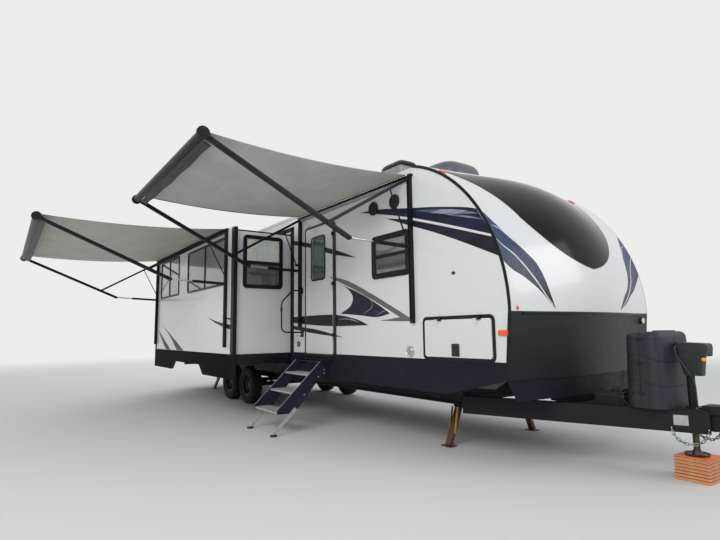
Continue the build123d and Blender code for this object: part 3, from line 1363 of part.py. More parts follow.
# Roof equipment: streamlined air conditioner, and the hood over a vent beside it
GEAR_Z = ROOF_Z - 20
GEAR_HALF = 340.0
GEAR_X = -3050.0
with BuildPart() as roof_gear:
    with BuildSketch(side_plane(GEAR_HALF)):
        with BuildLine():
            Line((GEAR_X - 545, GEAR_Z), (GEAR_X + 545, GEAR_Z))
            ThreePointArc((GEAR_X + 545, GEAR_Z), (GEAR_X + 435, 3365), (GEAR_X + 165, 3478))
            Line((GEAR_X + 165, 3478), (GEAR_X - 395, 3512))
            ThreePointArc((GEAR_X - 395, 3512), (GEAR_X - 515, 3425), (GEAR_X - 545, GEAR_Z))
        make_face()
    extrude(amount=2 * GEAR_HALF)
    with BuildSketch(Plane.YZ.offset(GEAR_X - 650)):
        with BuildLine():
            Line((GEAR_HALF, GEAR_Z), (-GEAR_HALF, GEAR_Z))
            for s in (-1, 1):
                Line((s * GEAR_HALF, GEAR_Z), (s * (GEAR_HALF - 25), 3400))
                ThreePointArc(
                    (s * (GEAR_HALF - 25), 3400), (s * (GEAR_HALF - 60), 3472), (s * (GEAR_HALF - 150), 3518)
                )
            Line((-GEAR_HALF + 150, 3518), (GEAR_HALF - 150, 3518))
        make_face()
    extrude(amount=1300, mode=Mode.INTERSECT)
    with BuildSketch(Plane.XY.offset(GEAR_Z)):
        with Locations((GEAR_X, 0)):
            RectangleRounded(1092, 2 * GEAR_HALF + 2, 130)
    extrude(amount=400, mode=Mode.INTERSECT)
    with BuildSketch(Plane.XY.offset(GEAR_Z)):
        with Locations((-2790, -850)):
            RectangleRounded(540, 440, 70)
    with BuildSketch(Plane.XY.offset(3320)):
        with Locations((-2790, -850)):
            RectangleRounded(530, 430, 70)
    with BuildSketch(Plane.XY.offset(3440)):
        with Locations((-2800, -850)):
            RectangleRounded(430, 330, 70)
    loft(ruled=True)
    add(roof.part, mode=Mode.SUBTRACT)
save(roof_gear, "roof_gear")

# Wall fittings: speakers with a sunk cone, hose port, and the grab handle folded out beside the door
HANDLE_X = -4750.0
HANDLE = ((-HALF - 4, 1950.0), (-HALF - 190, 1935.0), (-HALF - 370, 1275.0), (-HALF - 4, 1215.0))
HANDLE_R = 12.0
with BuildPart() as wall_fittings:
    for x in (-2920, -2505):
        with BuildSketch(side_plane(-HALF)):
            with Locations((x, 2800)):
                Circle(82)
        extrude(amount=16, taper=20)
        with BuildSketch(side_plane(-HALF - 16)):
            with Locations((x, 2800)):
                Circle(58)
        extrude(amount=-10, taper=30, mode=Mode.SUBTRACT)
    with BuildSketch(side_plane(-HALF)):
        with Locations((-2280, 1064)):
            Circle(50)
    extrude(amount=20, taper=15)
    with BuildPart(mode=Mode.PRIVATE) as handle:
        with BuildLine() as handle_path:
            FilletPolyline(*((HANDLE_X, y, z) for y, z in HANDLE), radius=70)
        with BuildSketch(Plane(origin=(HANDLE_X, *HANDLE[0]), z_dir=handle_path.line % 0)):
            Circle(HANDLE_R)
        sweep()
    add(handle.part)
    with BuildSketch(side_plane(-HALF)):
        for y, z in (HANDLE[0], HANDLE[-1]):
            with Locations((HANDLE_X, z)):
                RectangleRounded(40, 90, 10)
    extrude(amount=6)
save(wall_fittings, "wall_fittings")

# Lead from the near side of the jack's lid, across the head and down to the A-frame plate
CABLE_R = 4.0
CABLE_POINTS = (
    (-60.0, -HEAD_HALF, 1128.0),
    (-61.0, -98.0, 1124.0),
    (-66.0, -112.0, 1092.0),
    (-50.0, -104.0, 1030.0),
    (-12.0, -92.0, 962.0),
    (26.0, -74.0, 890.0),
    (56.0, -60.0, 820.0),
    (58.0, -54.0, 700.0),
    (58.0, -54.0, AFRAME_Z1 + 8),
)


def bend_radii(points):
    """Radius of the bend at each inner point, as large as its two runs allow."""
    radii = []
    for a, b, c in zip(points, points[1:], points[2:]):
        run_in = Vector(*b) - Vector(*a)
        run_out = Vector(*c) - Vector(*b)
        half_turn = radians(run_in.get_angle(run_out)) / 2
        radii.append(0.45 * min(run_in.length, run_out.length) / tan(half_turn))
    return radii


print("jack lead radii", [round(r, 1) for r in bend_radii(CABLE_POINTS)])
with BuildPart() as jack_cable:
    with BuildLine() as path:
        FilletPolyline(*CABLE_POINTS, radius=bend_radii(CABLE_POINTS))
    with BuildSketch(Plane.XY.offset(CABLE_POINTS[-1][2])):
        with Locations(CABLE_POINTS[-1][:2]):
            Circle(CABLE_R)
    sweep()
save(jack_cable, "jack_cable")
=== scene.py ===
"""Travel caravan with both awnings out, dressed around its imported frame. Metres, +X forward, +Z up."""

from math import cos, hypot, pi, radians, sin

import bmesh
import bpy
from bpy.props import FloatProperty, FloatVectorProperty, PointerProperty
from mathutils import Matrix, Vector
from mathutils.bvhtree import BVHTree
from mathutils.geometry import delaunay_2d_cdt


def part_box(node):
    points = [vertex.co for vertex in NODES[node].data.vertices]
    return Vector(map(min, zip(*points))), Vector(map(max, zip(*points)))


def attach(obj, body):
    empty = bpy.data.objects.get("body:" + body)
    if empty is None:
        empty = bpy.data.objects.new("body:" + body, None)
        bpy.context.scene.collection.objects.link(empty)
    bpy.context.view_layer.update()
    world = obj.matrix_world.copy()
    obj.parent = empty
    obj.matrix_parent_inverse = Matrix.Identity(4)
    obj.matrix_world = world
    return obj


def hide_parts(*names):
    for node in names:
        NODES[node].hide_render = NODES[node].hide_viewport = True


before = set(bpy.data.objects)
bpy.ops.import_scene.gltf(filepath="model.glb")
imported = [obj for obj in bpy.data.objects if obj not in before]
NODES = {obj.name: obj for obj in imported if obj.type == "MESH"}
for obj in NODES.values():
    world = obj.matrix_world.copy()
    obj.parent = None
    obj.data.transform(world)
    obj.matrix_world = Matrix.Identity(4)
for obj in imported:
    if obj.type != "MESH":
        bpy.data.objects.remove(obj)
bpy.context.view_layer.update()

bl_info = {
    "name": "Travel caravan",
    "version": (1, 0, 0),
    "blender": (4, 5, 0),
    "location": "3D View > Sidebar > Caravan",
    "description": "Finishes, stripes, awning cloths, tyres and fittings of a parked travel caravan",
    "category": "Object",
}

# The camera, fitted to the photograph
IMAGE_W = 720
CAMERA_AT = Vector((2.022, -4.930, 1.278))
CAMERA_YAW = radians(144.79)
CAMERA_PITCH = radians(6.995)
CAMERA_ROLL = radians(-0.751)
CAMERA_FOCUS_PX = 507.2
SENSOR_MM = 36.0

# Body sizes taken from the frame
CURB_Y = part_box("side_wall_curb")[0].y
ROAD_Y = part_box("side_wall_road")[1].y
SLIDE_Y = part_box("slide_fascia")[0].y
HALF_WIDTH = 1.22
REAR_X = -10.75
WHEEL_Z = 0.345
SLIDE_END_X = -5.145


def hex_linear(code):
    """sRGB hex colour to linear red, green, blue and alpha."""
    parts = [int(code[i:i + 2], 16) / 255 for i in (1, 3, 5)]
    return tuple(c / 12.92 if c <= 0.04045 else ((c + 0.055) / 1.055) ** 2.4 for c in parts) + (1.0,)


def colour_prop(name, description, code):
    return FloatVectorProperty(
        name=name, description=description, subtype="COLOR", size=4, min=0, max=1, default=hex_linear(code)
    )


class CaravanColours(bpy.types.PropertyGroup):
    wall: colour_prop("Wall", "Gelcoat of the walls and the upper cap", "#D9DCDB")
    slide_wall: colour_prop("Slide-out", "Gelcoat of the slide-out", "#D8DCDF")
    skirt: colour_prop("Skirt", "Painted aluminium under the belt line", "#171A21")
    black_trim: colour_prop("Black trim", "Coated trim, frames and awning arms", "#14161A")
    navy: colour_prop("Navy stripe", "Dark blue film of the side bands", "#121626")
    olive: colour_prop("Olive stripe", "Grey-olive film of the side sweeps", "#61625A")
    awning_cloth: colour_prop("Front awning", "Vinyl of the front awning", "#C6C5BF")
    slide_cloth: colour_prop("Slide-out awning", "Vinyl of the slide-out's awning", "#C0BBAF")
    block: colour_prop("Levelling blocks", "Moulded plastic under the jack", "#F0641E")
    brace: colour_prop("Stabiliser brace", "Yellow paint of the braces", "#E0A21A")


class CaravanSizes(bpy.types.PropertyGroup):
    film: FloatProperty(
        name="Film", description="How far the stripes stand off the wall", default=0.0006, unit="LENGTH",
        precision=4
    )
    plate_pitch: FloatProperty(
        name="Plate pitch", description="Pitch of the raised diamonds on the lower cap", default=0.045,
        unit="LENGTH"
    )
    sag: FloatProperty(
        name="Awning sag", description="How far the awning cloths hang in the middle", default=0.06,
        unit="LENGTH"
    )
    screw_pitch: FloatProperty(
        name="Screw pitch", description="Distance between the screws along the trims", default=0.12,
        unit="LENGTH"
    )


def add_node(tree, kind, links=None, values=None, **settings):
    """Adds one node, sets its attributes and socket values, and links sockets into it."""
    node = tree.nodes.new(kind)
    for key, value in settings.items():
        setattr(node, key, value)
    for key, value in (values or {}).items():
        node.inputs[key].default_value = value
    for key, socket in (links or {}).items():
        tree.links.new(socket, node.inputs[key])
    return node


def start_material(name, **values):
    """A new material with one Principled shader whose sockets are set by name."""
    material = bpy.data.materials.new(name)
    material.use_nodes = True
    tree = material.node_tree
    shader = tree.nodes["Principled BSDF"]
    for key, value in values.items():
        shader.inputs[key.replace("_", " ")].default_value = value
    place = add_node(tree, "ShaderNodeTexCoord").outputs["Object"]
    return material, tree, shader, place


def reopen(material):
    """Tree, shader, object coordinates and present base colour of a material that is changed further."""
    tree = material.node_tree
    shader = tree.nodes["Principled BSDF"]
    place = add_node(tree, "ShaderNodeTexCoord").outputs["Object"]
    return tree, shader, place, shader.inputs["Base Color"].links[0].from_socket


def calc(tree, operation, *inputs):
    """Output of a math node; each input is a socket or a plain number."""
    links = {i: value for i, value in enumerate(inputs) if isinstance(value, bpy.types.NodeSocket)}
    values = {i: value for i, value in enumerate(inputs) if i not in links}
    return add_node(tree, "ShaderNodeMath", links, values, operation=operation).outputs["Value"]


def ranged(tree, socket, values, **settings):
    """Output of a map range node; values holds from and to at 1 and 2, and the new ends at 3 and 4."""
    return add_node(tree, "ShaderNodeMapRange", {"Value": socket}, values, **settings).outputs["Result"]


def surface(tree, shader, rough, bump):
    """Feeds the shader's roughness from a socket and its normal from a bump node."""
    tree.links.new(rough, shader.inputs["Roughness"])
    tree.links.new(bump.outputs["Normal"], shader.inputs["Normal"])


def two_tone(tree, shader, place, colour, other, size, detail=4.0, low=0.35, high=0.65):
    """Cloudy change between two colours, one cloud about size metres across."""
    cloud = add_node(
        tree, "ShaderNodeTexNoise", {"Vector": place},
        {"Scale": 1 / size, "Detail": detail, "Roughness": 0.55}
    )
    ramp = ranged(tree, cloud.outputs["Fac"], {1: low, 2: high})
    mix = add_node(
        tree, "ShaderNodeMix", {"Factor": ramp}, {6: colour, 7: other}, data_type="RGBA"
    )
    tree.links.new(mix.outputs[2], shader.inputs["Base Color"])
    return mix.outputs[2]


def uneven(tree, shader, place, size, low, high, depth, strength=0.3):
    """Roughness that changes over the surface, and a bump of the same grain."""
    grain = add_node(tree, "ShaderNodeTexNoise", {"Vector": place}, {"Scale": 1 / size, "Detail": 3.0})
    rough = ranged(tree, grain.outputs["Fac"], {1: 0.3, 2: 0.7, 3: low, 4: high})
    bump = add_node(
        tree, "ShaderNodeBump", {"Height": grain.outputs["Fac"]}, {"Strength": strength, "Distance": depth}
    )
    surface(tree, shader, rough, bump)
    return bump


def blend_colour(tree, shader, socket, factor, other):
    """Mixes another colour into what already feeds the base colour, by a factor socket."""
    mix = add_node(
        tree, "ShaderNodeMix", {"Factor": factor, 6: socket}, {7: other}, data_type="RGBA"
    )
    tree.links.new(mix.outputs[2], shader.inputs["Base Color"])
    return mix.outputs[2]


def beyond(tree, place, axis, edge, soft=0.002):
    """1 where the coordinate on an axis is past the edge, 0 before it."""
    parts = add_node(tree, "ShaderNodeSeparateXYZ", {"Vector": place})
    ramp = ranged(tree, parts.outputs[axis], {1: edge - soft, 2: edge + soft})
    return ramp


def scaled(colour, factor):
    return tuple(c * factor for c in colour[:3]) + (1.0,)


def gelcoat(name, colour, dark_below=None):
    """Polished gelcoat on glass fibre: clear gloss, faint waves and a film of road dust low down."""
    material, tree, shader, place = start_material(
        name, Roughness=0.25, IOR=1.5, Coat_Weight=0.35, Coat_Roughness=0.08
    )
    base = two_tone(tree, shader, place, colour, scaled(colour, 0.965), 2.6, detail=1.0, low=0.2, high=0.8)
    height = add_node(tree, "ShaderNodeSeparateXYZ", {"Vector": place}).outputs["Z"]
    low = ranged(tree, height, {1: 0.85, 2: 1.6, 3: 0.12, 4: 0.0})
    streak_place = add_node(tree, "ShaderNodeMapping", {"Vector": place}, {"Scale": (6.0, 6.0, 0.6)})
    streak = add_node(
        tree, "ShaderNodeTexNoise", {"Vector": streak_place.outputs["Vector"]}, {"Scale": 3.0, "Detail": 5.0}
    )
    dust = calc(tree, "MULTIPLY", low, streak.outputs["Fac"])
    mix = add_node(
        tree, "ShaderNodeMix", {"Factor": dust, 6: base}, {7: hex_linear("#A9A693")},
        data_type="RGBA",
    )
    tree.links.new(mix.outputs[2], shader.inputs["Base Color"])
    if dark_below is not None:
        over = beyond(tree, place, "Z", dark_below)
        under = calc(tree, "SUBTRACT", 1.0, over)
        blend_colour(tree, shader, mix.outputs[2], under, hex_linear("#181A1F"))
    uneven(tree, shader, place, 0.9, 0.23, 0.28, 0.002, 0.02)
    return material


def painted_aluminium(name, colour, rough=0.52):
    """Sprayed colour on thin sheet: satin, shallow dents and a little dust."""
    material, tree, shader, place = start_material(name, IOR=1.5, Specular_IOR_Level=0.14)
    two_tone(tree, shader, place, colour, scaled(colour, 1.35), 0.4)
    uneven(tree, shader, place, 0.12, rough - 0.08, rough + 0.12, 0.002, 0.2)
    return material


def coated_metal(name, colour, rough=0.38, shine=0.2):
    """Powder coat: fine orange peel of about 2 mm on a deep even colour."""
    material, tree, shader, place = start_material(name, IOR=1.5, Specular_IOR_Level=shine)
    two_tone(tree, shader, place, colour, scaled(colour, 1.35), 0.25)
    uneven(tree, shader, place, 0.004, rough - 0.06, rough + 0.08, 0.0004, 0.25)
    return material


def moulded_plastic(name, colour, grain=0.0035, rough=0.5):
    """Injection or blow moulded shell: leather-like grain a few millimetres wide."""
    material, tree, shader, place = start_material(name, IOR=1.49, Specular_IOR_Level=0.35)
    two_tone(tree, shader, place, colour, scaled(colour, 1.3), 0.2)
    cells = add_node(tree, "ShaderNodeTexVoronoi", {"Vector": place}, {"Scale": 1 / grain})
    rough_map = ranged(tree, cells.outputs["Distance"], {3: rough + 0.08, 4: rough - 0.05})
    bump = add_node(
        tree, "ShaderNodeBump", {"Height": cells.outputs["Distance"]}, {"Strength": 0.25, "Distance": 0.0005}
    )
    surface(tree, shader, rough_map, bump)
    return material


def steel(name, colour, rough, worn=None, size=0.05):
    """Bare or plated steel, with a second colour where it has rusted or dulled."""
    material, tree, shader, place = start_material(name, Metallic=1.0)
    two_tone(tree, shader, place, colour, worn or scaled(colour, 0.7), size, low=0.42, high=0.6)
    uneven(tree, shader, place, 0.006, rough, rough + 0.2, 0.0005, 0.3)
    return material


def tinted_glass(name, colour, clear=0.85):
    """Toughened glass with a dark tint: sharp reflections over a dim view inside."""
    material, tree, shader, place = start_material(
        name, IOR=1.52, Transmission_Weight=clear, Coat_Weight=0.6, Coat_Roughness=0.02
    )
    two_tone(tree, shader, place, colour, scaled(colour, 1.2), 0.6, detail=1.0)
    wave = add_node(tree, "ShaderNodeTexNoise", {"Vector": place}, {"Scale": 2.2, "Detail": 1.0})
    rough = ranged(tree, wave.outputs["Fac"], {3: 0.02, 4: 0.06})
    bump = add_node(
        tree, "ShaderNodeBump", {"Height": wave.outputs["Fac"]}, {"Strength": 0.05, "Distance": 0.01}
    )
    surface(tree, shader, rough, bump)
    return material


def acrylic_screen(name):
    """Black gloss acrylic bonded to the cap: deep reflections and a faint cloudy change of tone."""
    material, tree, shader, place = start_material(name, IOR=1.33, Specular_IOR_Level=0.25)
    two_tone(tree, shader, place, hex_linear("#08090B"), hex_linear("#14171B"), 0.5)
    uneven(tree, shader, place, 0.8, 0.08, 0.16, 0.003, 0.06)
    return material


def diamond_plate(name, pitch):
    """Black moulded sheet with raised diamonds in alternating rows, glossy on their tops; the tops are also
    coloured lighter than the sheet, a painted highlight.
    """
    material, tree, shader, place = start_material(name, IOR=1.4, Specular_IOR_Level=0.35)
    parts = add_node(tree, "ShaderNodeSeparateXYZ", {"Vector": place})
    across = calc(tree, "MULTIPLY", parts.outputs["Y"], 1 / pitch)
    up = calc(tree, "MULTIPLY", parts.outputs["Z"], 1.6 / pitch)
    lean = []
    for operation in ("ADD", "SUBTRACT"):
        turned = calc(tree, operation, across, up)
        wave = calc(tree, "PINGPONG", turned, 0.5, 0.0)
        lean.append(wave)
    both = calc(tree, "MINIMUM", lean[0], lean[1])
    raised = ranged(tree, both, {1: 0.12, 2: 0.3})
    bump = add_node(tree, "ShaderNodeBump", {"Height": raised}, {"Strength": 0.9, "Distance": 0.002})
    # Painted highlight: the raised diamond tops get a lighter grey than the black sheet around them.
    colour = add_node(
        tree, "ShaderNodeMix", {"Factor": raised},
        {6: hex_linear("#040506"), 7: hex_linear("#2B2E34")}, data_type="RGBA",
    )
    rough = ranged(tree, raised, {3: 0.42, 4: 0.2})
    tree.links.new(colour.outputs[2], shader.inputs["Base Color"])
    surface(tree, shader, rough, bump)
    return material


def rubber(name, colour):
    """Rubber of tyres and seals: dull, with brown-grey dust caught on it."""
    material, tree, shader, place = start_material(name, IOR=1.52, Specular_IOR_Level=0.35)
    two_tone(tree, shader, place, colour, hex_linear("#3A3732"), 0.08, detail=8.0, low=0.45, high=0.8)
    uneven(tree, shader, place, 0.01, 0.72, 0.9, 0.0008, 0.3)
    return material


def lamp_lens(name, colour):
    """Ribbed polycarbonate lens with a little light of its own colour from the reflector behind."""
    material, tree, shader, place = start_material(
        name, Base_Color=colour, IOR=1.58, Transmission_Weight=0.25, Emission_Color=colour,
        Emission_Strength=0.25
    )
    rib = add_node(tree, "ShaderNodeTexWave", {"Vector": place}, {"Scale": 60.0, "Distortion": 0.0})
    rough = ranged(tree, rib.outputs["Fac"], {3: 0.12, 4: 0.25})
    bump = add_node(
        tree, "ShaderNodeBump", {"Height": rib.outputs["Fac"]}, {"Strength": 0.4, "Distance": 0.001}
    )
    surface(tree, shader, rough, bump)
    return material


def plywood(name):
    """Floor sheet: pale birch face with long grain."""
    material, tree, shader, place = start_material(name, IOR=1.5, Roughness=0.6)
    along = add_node(tree, "ShaderNodeMapping", {"Vector": place}, {"Scale": (1.0, 14.0, 14.0)})
    two_tone(tree, shader, along.outputs["Vector"], hex_linear("#8C6D48"), hex_linear("#6B5134"), 0.3)
    return material


def printed_film(name, colour, other, stretch=(0.5, 4.0, 9.0), rough=0.42):
    """Cast vinyl film with long printed streaks between two shades."""
    material, tree, shader, place = start_material(name, IOR=1.5, Specular_IOR_Level=0.3)
    along = add_node(
        tree, "ShaderNodeMapping", {"Vector": place}, {"Scale": stretch, "Rotation": (0.0, 0.33, 0.0)}
    )
    two_tone(tree, shader, along.outputs["Vector"], colour, other, 0.7, detail=3.0, low=0.42, high=0.62)
    uneven(tree, shader, place, 0.05, rough - 0.06, rough + 0.1, 0.0003, 0.1)
    return material


def fading_film(name, top, low, z0, z1):
    """Cast vinyl film whose colour fades downwards, with a few lighter streaks."""
    material, tree, shader, place = start_material(name, IOR=1.5, Specular_IOR_Level=0.3)
    along = add_node(
        tree, "ShaderNodeMapping", {"Vector": place}, {"Scale": (2.0, 9.0, 2.5), "Rotation": (0.5, 0, 0)}
    )
    base = two_tone(
        tree, shader, along.outputs["Vector"], top, scaled(top, 1.45), 0.6, detail=2.0, low=0.45, high=0.7
    )
    height = beyond(tree, place, "Z", (z0 + z1) / 2, (z1 - z0) / 2)
    lower = calc(tree, "SUBTRACT", 1.0, height)
    blend_colour(tree, shader, base, lower, low)
    uneven(tree, shader, place, 0.05, 0.24, 0.38, 0.0003, 0.1)
    return material


def awning_vinyl(name, colour):
    """Laminated vinyl on a woven scrim: the weave shows faintly, with soft stretch marks across the run whose
    ridges are coloured paler, a painted highlight.
    """
    material, tree, shader, place = start_material(name, IOR=1.48, Sheen_Weight=0.1)
    base = two_tone(tree, shader, place, colour, scaled(colour, 0.86), 0.45, detail=5.0)
    marks_place = add_node(tree, "ShaderNodeMapping", {"Vector": place}, {"Scale": (1.2, 26.0, 1.0)})
    marks = add_node(
        tree, "ShaderNodeTexNoise", {"Vector": marks_place.outputs["Vector"]}, {"Scale": 1.0, "Detail": 3.0}
    )
    # Painted highlight: the stretch marks are mixed towards a paler copy of the cloth colour.
    pale = ranged(tree, marks.outputs["Fac"], {1: 0.55, 2: 0.75, 3: 0.0, 4: 0.35})
    blend_colour(tree, shader, base, pale, scaled(colour, 1.3))
    height = None
    for axis in ("X", "Y"):
        weave = add_node(
            tree, "ShaderNodeTexWave", {"Vector": place}, {"Scale": 160.0}, bands_direction=axis
        ).outputs["Fac"]
        if height is None:
            height = weave
        else:
            height = calc(tree, "ADD", height, weave)
    fine = add_node(tree, "ShaderNodeBump", {"Height": height}, {"Strength": 0.25, "Distance": 0.0003})
    wide = add_node(
        tree, "ShaderNodeBump", {"Height": marks.outputs["Fac"], "Normal": fine.outputs["Normal"]},
        {"Strength": 0.35, "Distance": 0.006},
    )
    rough = ranged(tree, marks.outputs["Fac"], {3: 0.5, 4: 0.7})
    surface(tree, shader, rough, wide)
    return material


def glowing_diode(name):
    """Yellowish light diodes under a clear cover."""
    material, tree, shader, place = start_material(
        name, Base_Color=hex_linear("#EDE8CC"), Emission_Color=hex_linear("#F2EBC6"), Emission_Strength=0.3,
        IOR=1.5
    )
    uneven(tree, shader, place, 0.01, 0.3, 0.45, 0.0003, 0.2)
    return material


def set_finish(material, *names):
    """Gives CAD nodes a material on every slot."""
    for name in names:
        mesh = NODES[name].data
        if not mesh.materials:
            mesh.materials.append(material)
        for slot in range(len(mesh.materials)):
            mesh.materials[slot] = material


class CARAVAN_OT_finishes(bpy.types.Operator):
    """Give every carried-over node of the frame its real finish"""

    bl_idname = "caravan.finishes"
    bl_label = "Finishes"

    def execute(self, context):
        look = context.scene.caravan_colours
        size = context.scene.caravan_sizes
        black = coated_metal("Black powder coat", look.black_trim)
        chassis = coated_metal("Black chassis enamel", hex_linear("#17191D"), 0.5)
        set_finish(gelcoat("White gelcoat", look.wall), "cap_upper", "entry_door", "baggage_door")
        set_finish(
            gelcoat("Wall gelcoat", look.wall, dark_below=0.978), "side_wall_curb", "side_wall_road",
            "rear_wall"
        )
        set_finish(gelcoat("Slide-out gelcoat", look.slide_wall, dark_below=0.982), "slide_fascia")
        sleeve = gelcoat("Slide-out sleeve gelcoat", look.slide_wall, dark_below=0.982)
        tree, shader, place, plain = reopen(sleeve)
        drip_edge = beyond(tree, place, "Z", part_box("slide_box")[1].z - 0.022)
        blend_colour(tree, shader, plain, drip_edge, look.black_trim)
        set_finish(sleeve, "slide_box")
        set_finish(painted_aluminium("Charcoal aluminium", look.skirt), "skirts")
        set_finish(diamond_plate("Black diamond sheet", size.plate_pitch), "cap_lower")
        set_finish(acrylic_screen("Black acrylic"), "windscreen")
        set_finish(
            black, "cap_trim", "window_frames", "slide_frames", "door_frame", "awning_frame",
            "slide_awning_frame",
            "wall_fittings",
        )
        set_finish(coated_metal("Low trim coat", hex_linear("#0A0B0D"), 0.6, 0.03), "slide_trim")
        set_finish(tinted_glass("Tinted safety glass", hex_linear("#B6BCB7")), "window_glass", "slide_glass")
        set_finish(tinted_glass("Door safety glass", hex_linear("#5A6B68"), 0.3), "door_glass")
        set_finish(
            chassis, "chassis_rails", "cross_members", "a_frame", "coupler", "rear_bumper", "running_gear",
            "stabiliser_mounts", "step_bracket", "jack_tube",
        )
        for place_name, leg_x in (("front", -2.22), ("rear", -9.90)):
            leg, tree, shader, place = start_material(f"Stabiliser paint {place_name}", IOR=1.5)
            base = two_tone(tree, shader, place, hex_linear("#191A1D"), hex_linear("#24262A"), 0.2)
            parts = add_node(tree, "ShaderNodeSeparateXYZ", {"Vector": place})
            worn = ranged(tree, parts.outputs["Z"], {1: 0.16, 2: 0.42, 3: 1.0, 4: 0.0})
            spots = add_node(tree, "ShaderNodeTexNoise", {"Vector": place}, {"Scale": 14.0, "Detail": 6.0})
            rust = calc(tree, "MULTIPLY", worn, spots.outputs["Fac"])
            rusty = blend_colour(tree, shader, base, rust, hex_linear("#7A4A28"))
            off = calc(tree, "SUBTRACT", parts.outputs["X"], leg_x)
            away = calc(tree, "ABSOLUTE", off)
            brace = calc(tree, "GREATER_THAN", away, 0.0383)
            above = calc(tree, "GREATER_THAN", parts.outputs["Z"], 0.06)
            both = calc(tree, "MULTIPLY", brace, above)
            blend_colour(tree, shader, rusty, both, look.brace)
            uneven(tree, shader, place, 0.01, 0.42, 0.6, 0.0006, 0.3)
            set_finish(leg, f"stabiliser_{place_name}_curb", f"stabiliser_{place_name}_road")
        set_finish(
            steel("Galvanised chain", hex_linear("#A9ABAC"), 0.35, hex_linear("#6E6A66")), "safety_chains"
        )
        set_finish(
            steel("Jack leg steel", hex_linear("#6B6560"), 0.42, hex_linear("#4A3A2E"), 0.12), "jack_leg",
        )
        treads, tree, shader, place = start_material("Brushed tread aluminium", Metallic=0.3)
        base = two_tone(tree, shader, place, hex_linear("#C3C4BF"), hex_linear("#A5A7A6"), 0.05)
        low = beyond(tree, place, "Z", 0.026)
        feet = calc(tree, "SUBTRACT", 1.0, low)
        blend_colour(tree, shader, base, feet, hex_linear("#1B1C1E"))
        metal = calc(tree, "MULTIPLY", low, 0.3)
        tree.links.new(metal, shader.inputs["Metallic"])
        uneven(tree, shader, place, 0.004, 0.4, 0.6, 0.0006, 0.35)
        set_finish(treads, "step_treads")
        set_finish(coated_metal("Step frame coat", hex_linear("#1F2430"), 0.42), "step_frame")
        set_finish(moulded_plastic("Jack head nylon", hex_linear("#26272A")), "jack_head")
        blocks = moulded_plastic("Orange polypropylene", look.block, 0.002, 0.45)
        tree, shader, place, orange = reopen(blocks)
        # Painted light: faces that do not face upwards get a paler tan instead of the orange of the same
        # plastic, with darker lines every 27 mm on them.
        facing = add_node(tree, "ShaderNodeNewGeometry").outputs["Normal"]
        upright = add_node(tree, "ShaderNodeSeparateXYZ", {"Vector": facing}).outputs["Z"]
        side = ranged(tree, upright, {1: 0.3, 2: 0.7, 3: 1.0, 4: 0.0})
        high = add_node(tree, "ShaderNodeSeparateXYZ", {"Vector": place}).outputs["Z"]
        layers = calc(tree, "PINGPONG", high, 0.0135)
        line = ranged(tree, layers, {1: 0.0015, 2: 0.0035, 3: 1.0, 4: 0.0})
        painted_light_sides = blend_colour(tree, shader, orange, side, hex_linear("#D39B6E"))
        both = calc(tree, "MULTIPLY", side, line)
        blend_colour(tree, shader, painted_light_sides, both, hex_linear("#6E3C22"))
        set_finish(blocks, "block_stack")
        set_finish(moulded_plastic("Charcoal polyethylene", hex_linear("#23262D"), 0.004, 0.52), "tank_cover")
        set_finish(
            moulded_plastic("Battery box polypropylene", hex_linear("#1C1E23"), 0.003, 0.5), "battery_box"
        )
        set_finish(gelcoat("White roof sheet", hex_linear("#D6D7D2")), "roof")
        deck = plywood("Birch plywood")
        tree, shader, place, wood = reopen(deck)
        # Painted shade: the birch deck is coloured near-black below 0.80 m, where its front end and underside
        # sit in shadow under the body.
        over = beyond(tree, place, "Z", 0.80)
        under = calc(tree, "SUBTRACT", 1.0, over)
        blend_colour(tree, shader, wood, under, hex_linear("#17181B"))
        set_finish(deck, "floor_deck")
        set_finish(
            rubber("Tyre rubber", hex_linear("#1B1B1C")), "tyre_front_curb", "tyre_front_road",
            "tyre_rear_curb",
            "tyre_rear_road",
        )
        set_finish(
            coated_metal("Dark alloy lacquer", hex_linear("#2A2C2F"), 0.32), "rim_front_curb",
            "rim_front_road",
            "rim_rear_curb", "rim_rear_road",
        )
        set_finish(lamp_lens("Red lens", hex_linear("#B0120E")), "tail_lamps")
        set_finish(lamp_lens("Amber lens", hex_linear("#E2560C")), "marker_lamps")
        set_finish(bead_material("Cable sheath", hex_linear("#3C3F45")), "jack_cable")
        return {"FINISHED"}


def smooth_run(points, count=6):
    """Points on a smooth curve through the given ones, without the last of them."""
    if len(points) < 3:
        return list(points[:-1])
    ends = [points[0], *points, points[-1]]
    made = []
    for a, b, c, d in zip(ends, ends[1:], ends[2:], ends[3:]):
        for i in range(count):
            t = i / count
            made.append(tuple(
                0.5 * (2 * q + (r - p) * t + (2 * p - 5 * q + 4 * r - s) * t * t
                       + (3 * q - p - 3 * r + s) * t ** 3)
                for p, q, r, s in zip(a, b, c, d)
            ))
    return made


def outline(*runs):
    """Closed outline of smooth runs; each run goes on from the end of the last, and the last closes it."""
    points = []
    for i, run in enumerate(runs):
        start = [] if i == 0 else [runs[i - 1][-1]]
        points += smooth_run(start + list(run))
    return points


def ribbon(points, width):
    """Outline of a line that tapers from its middle to both ends."""
    fine = smooth_run(points) + [points[-1]]
    left, right = [], []
    for i, (x, z) in enumerate(fine):
        before, after = fine[max(i - 1, 0)], fine[min(i + 1, len(fine) - 1)]
        length = hypot(after[0] - before[0], after[1] - before[1])
        share = 0.25 + 0.75 * sin(pi * min(1.0, i / (len(fine) - 1)))
        dx, dz = (after[0] - before[0]) / length, (after[1] - before[1]) / length
        left.append((x - dz * width * share / 2, z + dx * width * share / 2))
        right.append((x + dz * width * share / 2, z - dx * width * share / 2))
    return left + right[::-1]


def signed_area(points):
    return sum(a[0] * b[1] - b[0] * a[1] for a, b in zip(points, points[1:] + points[:1])) / 2


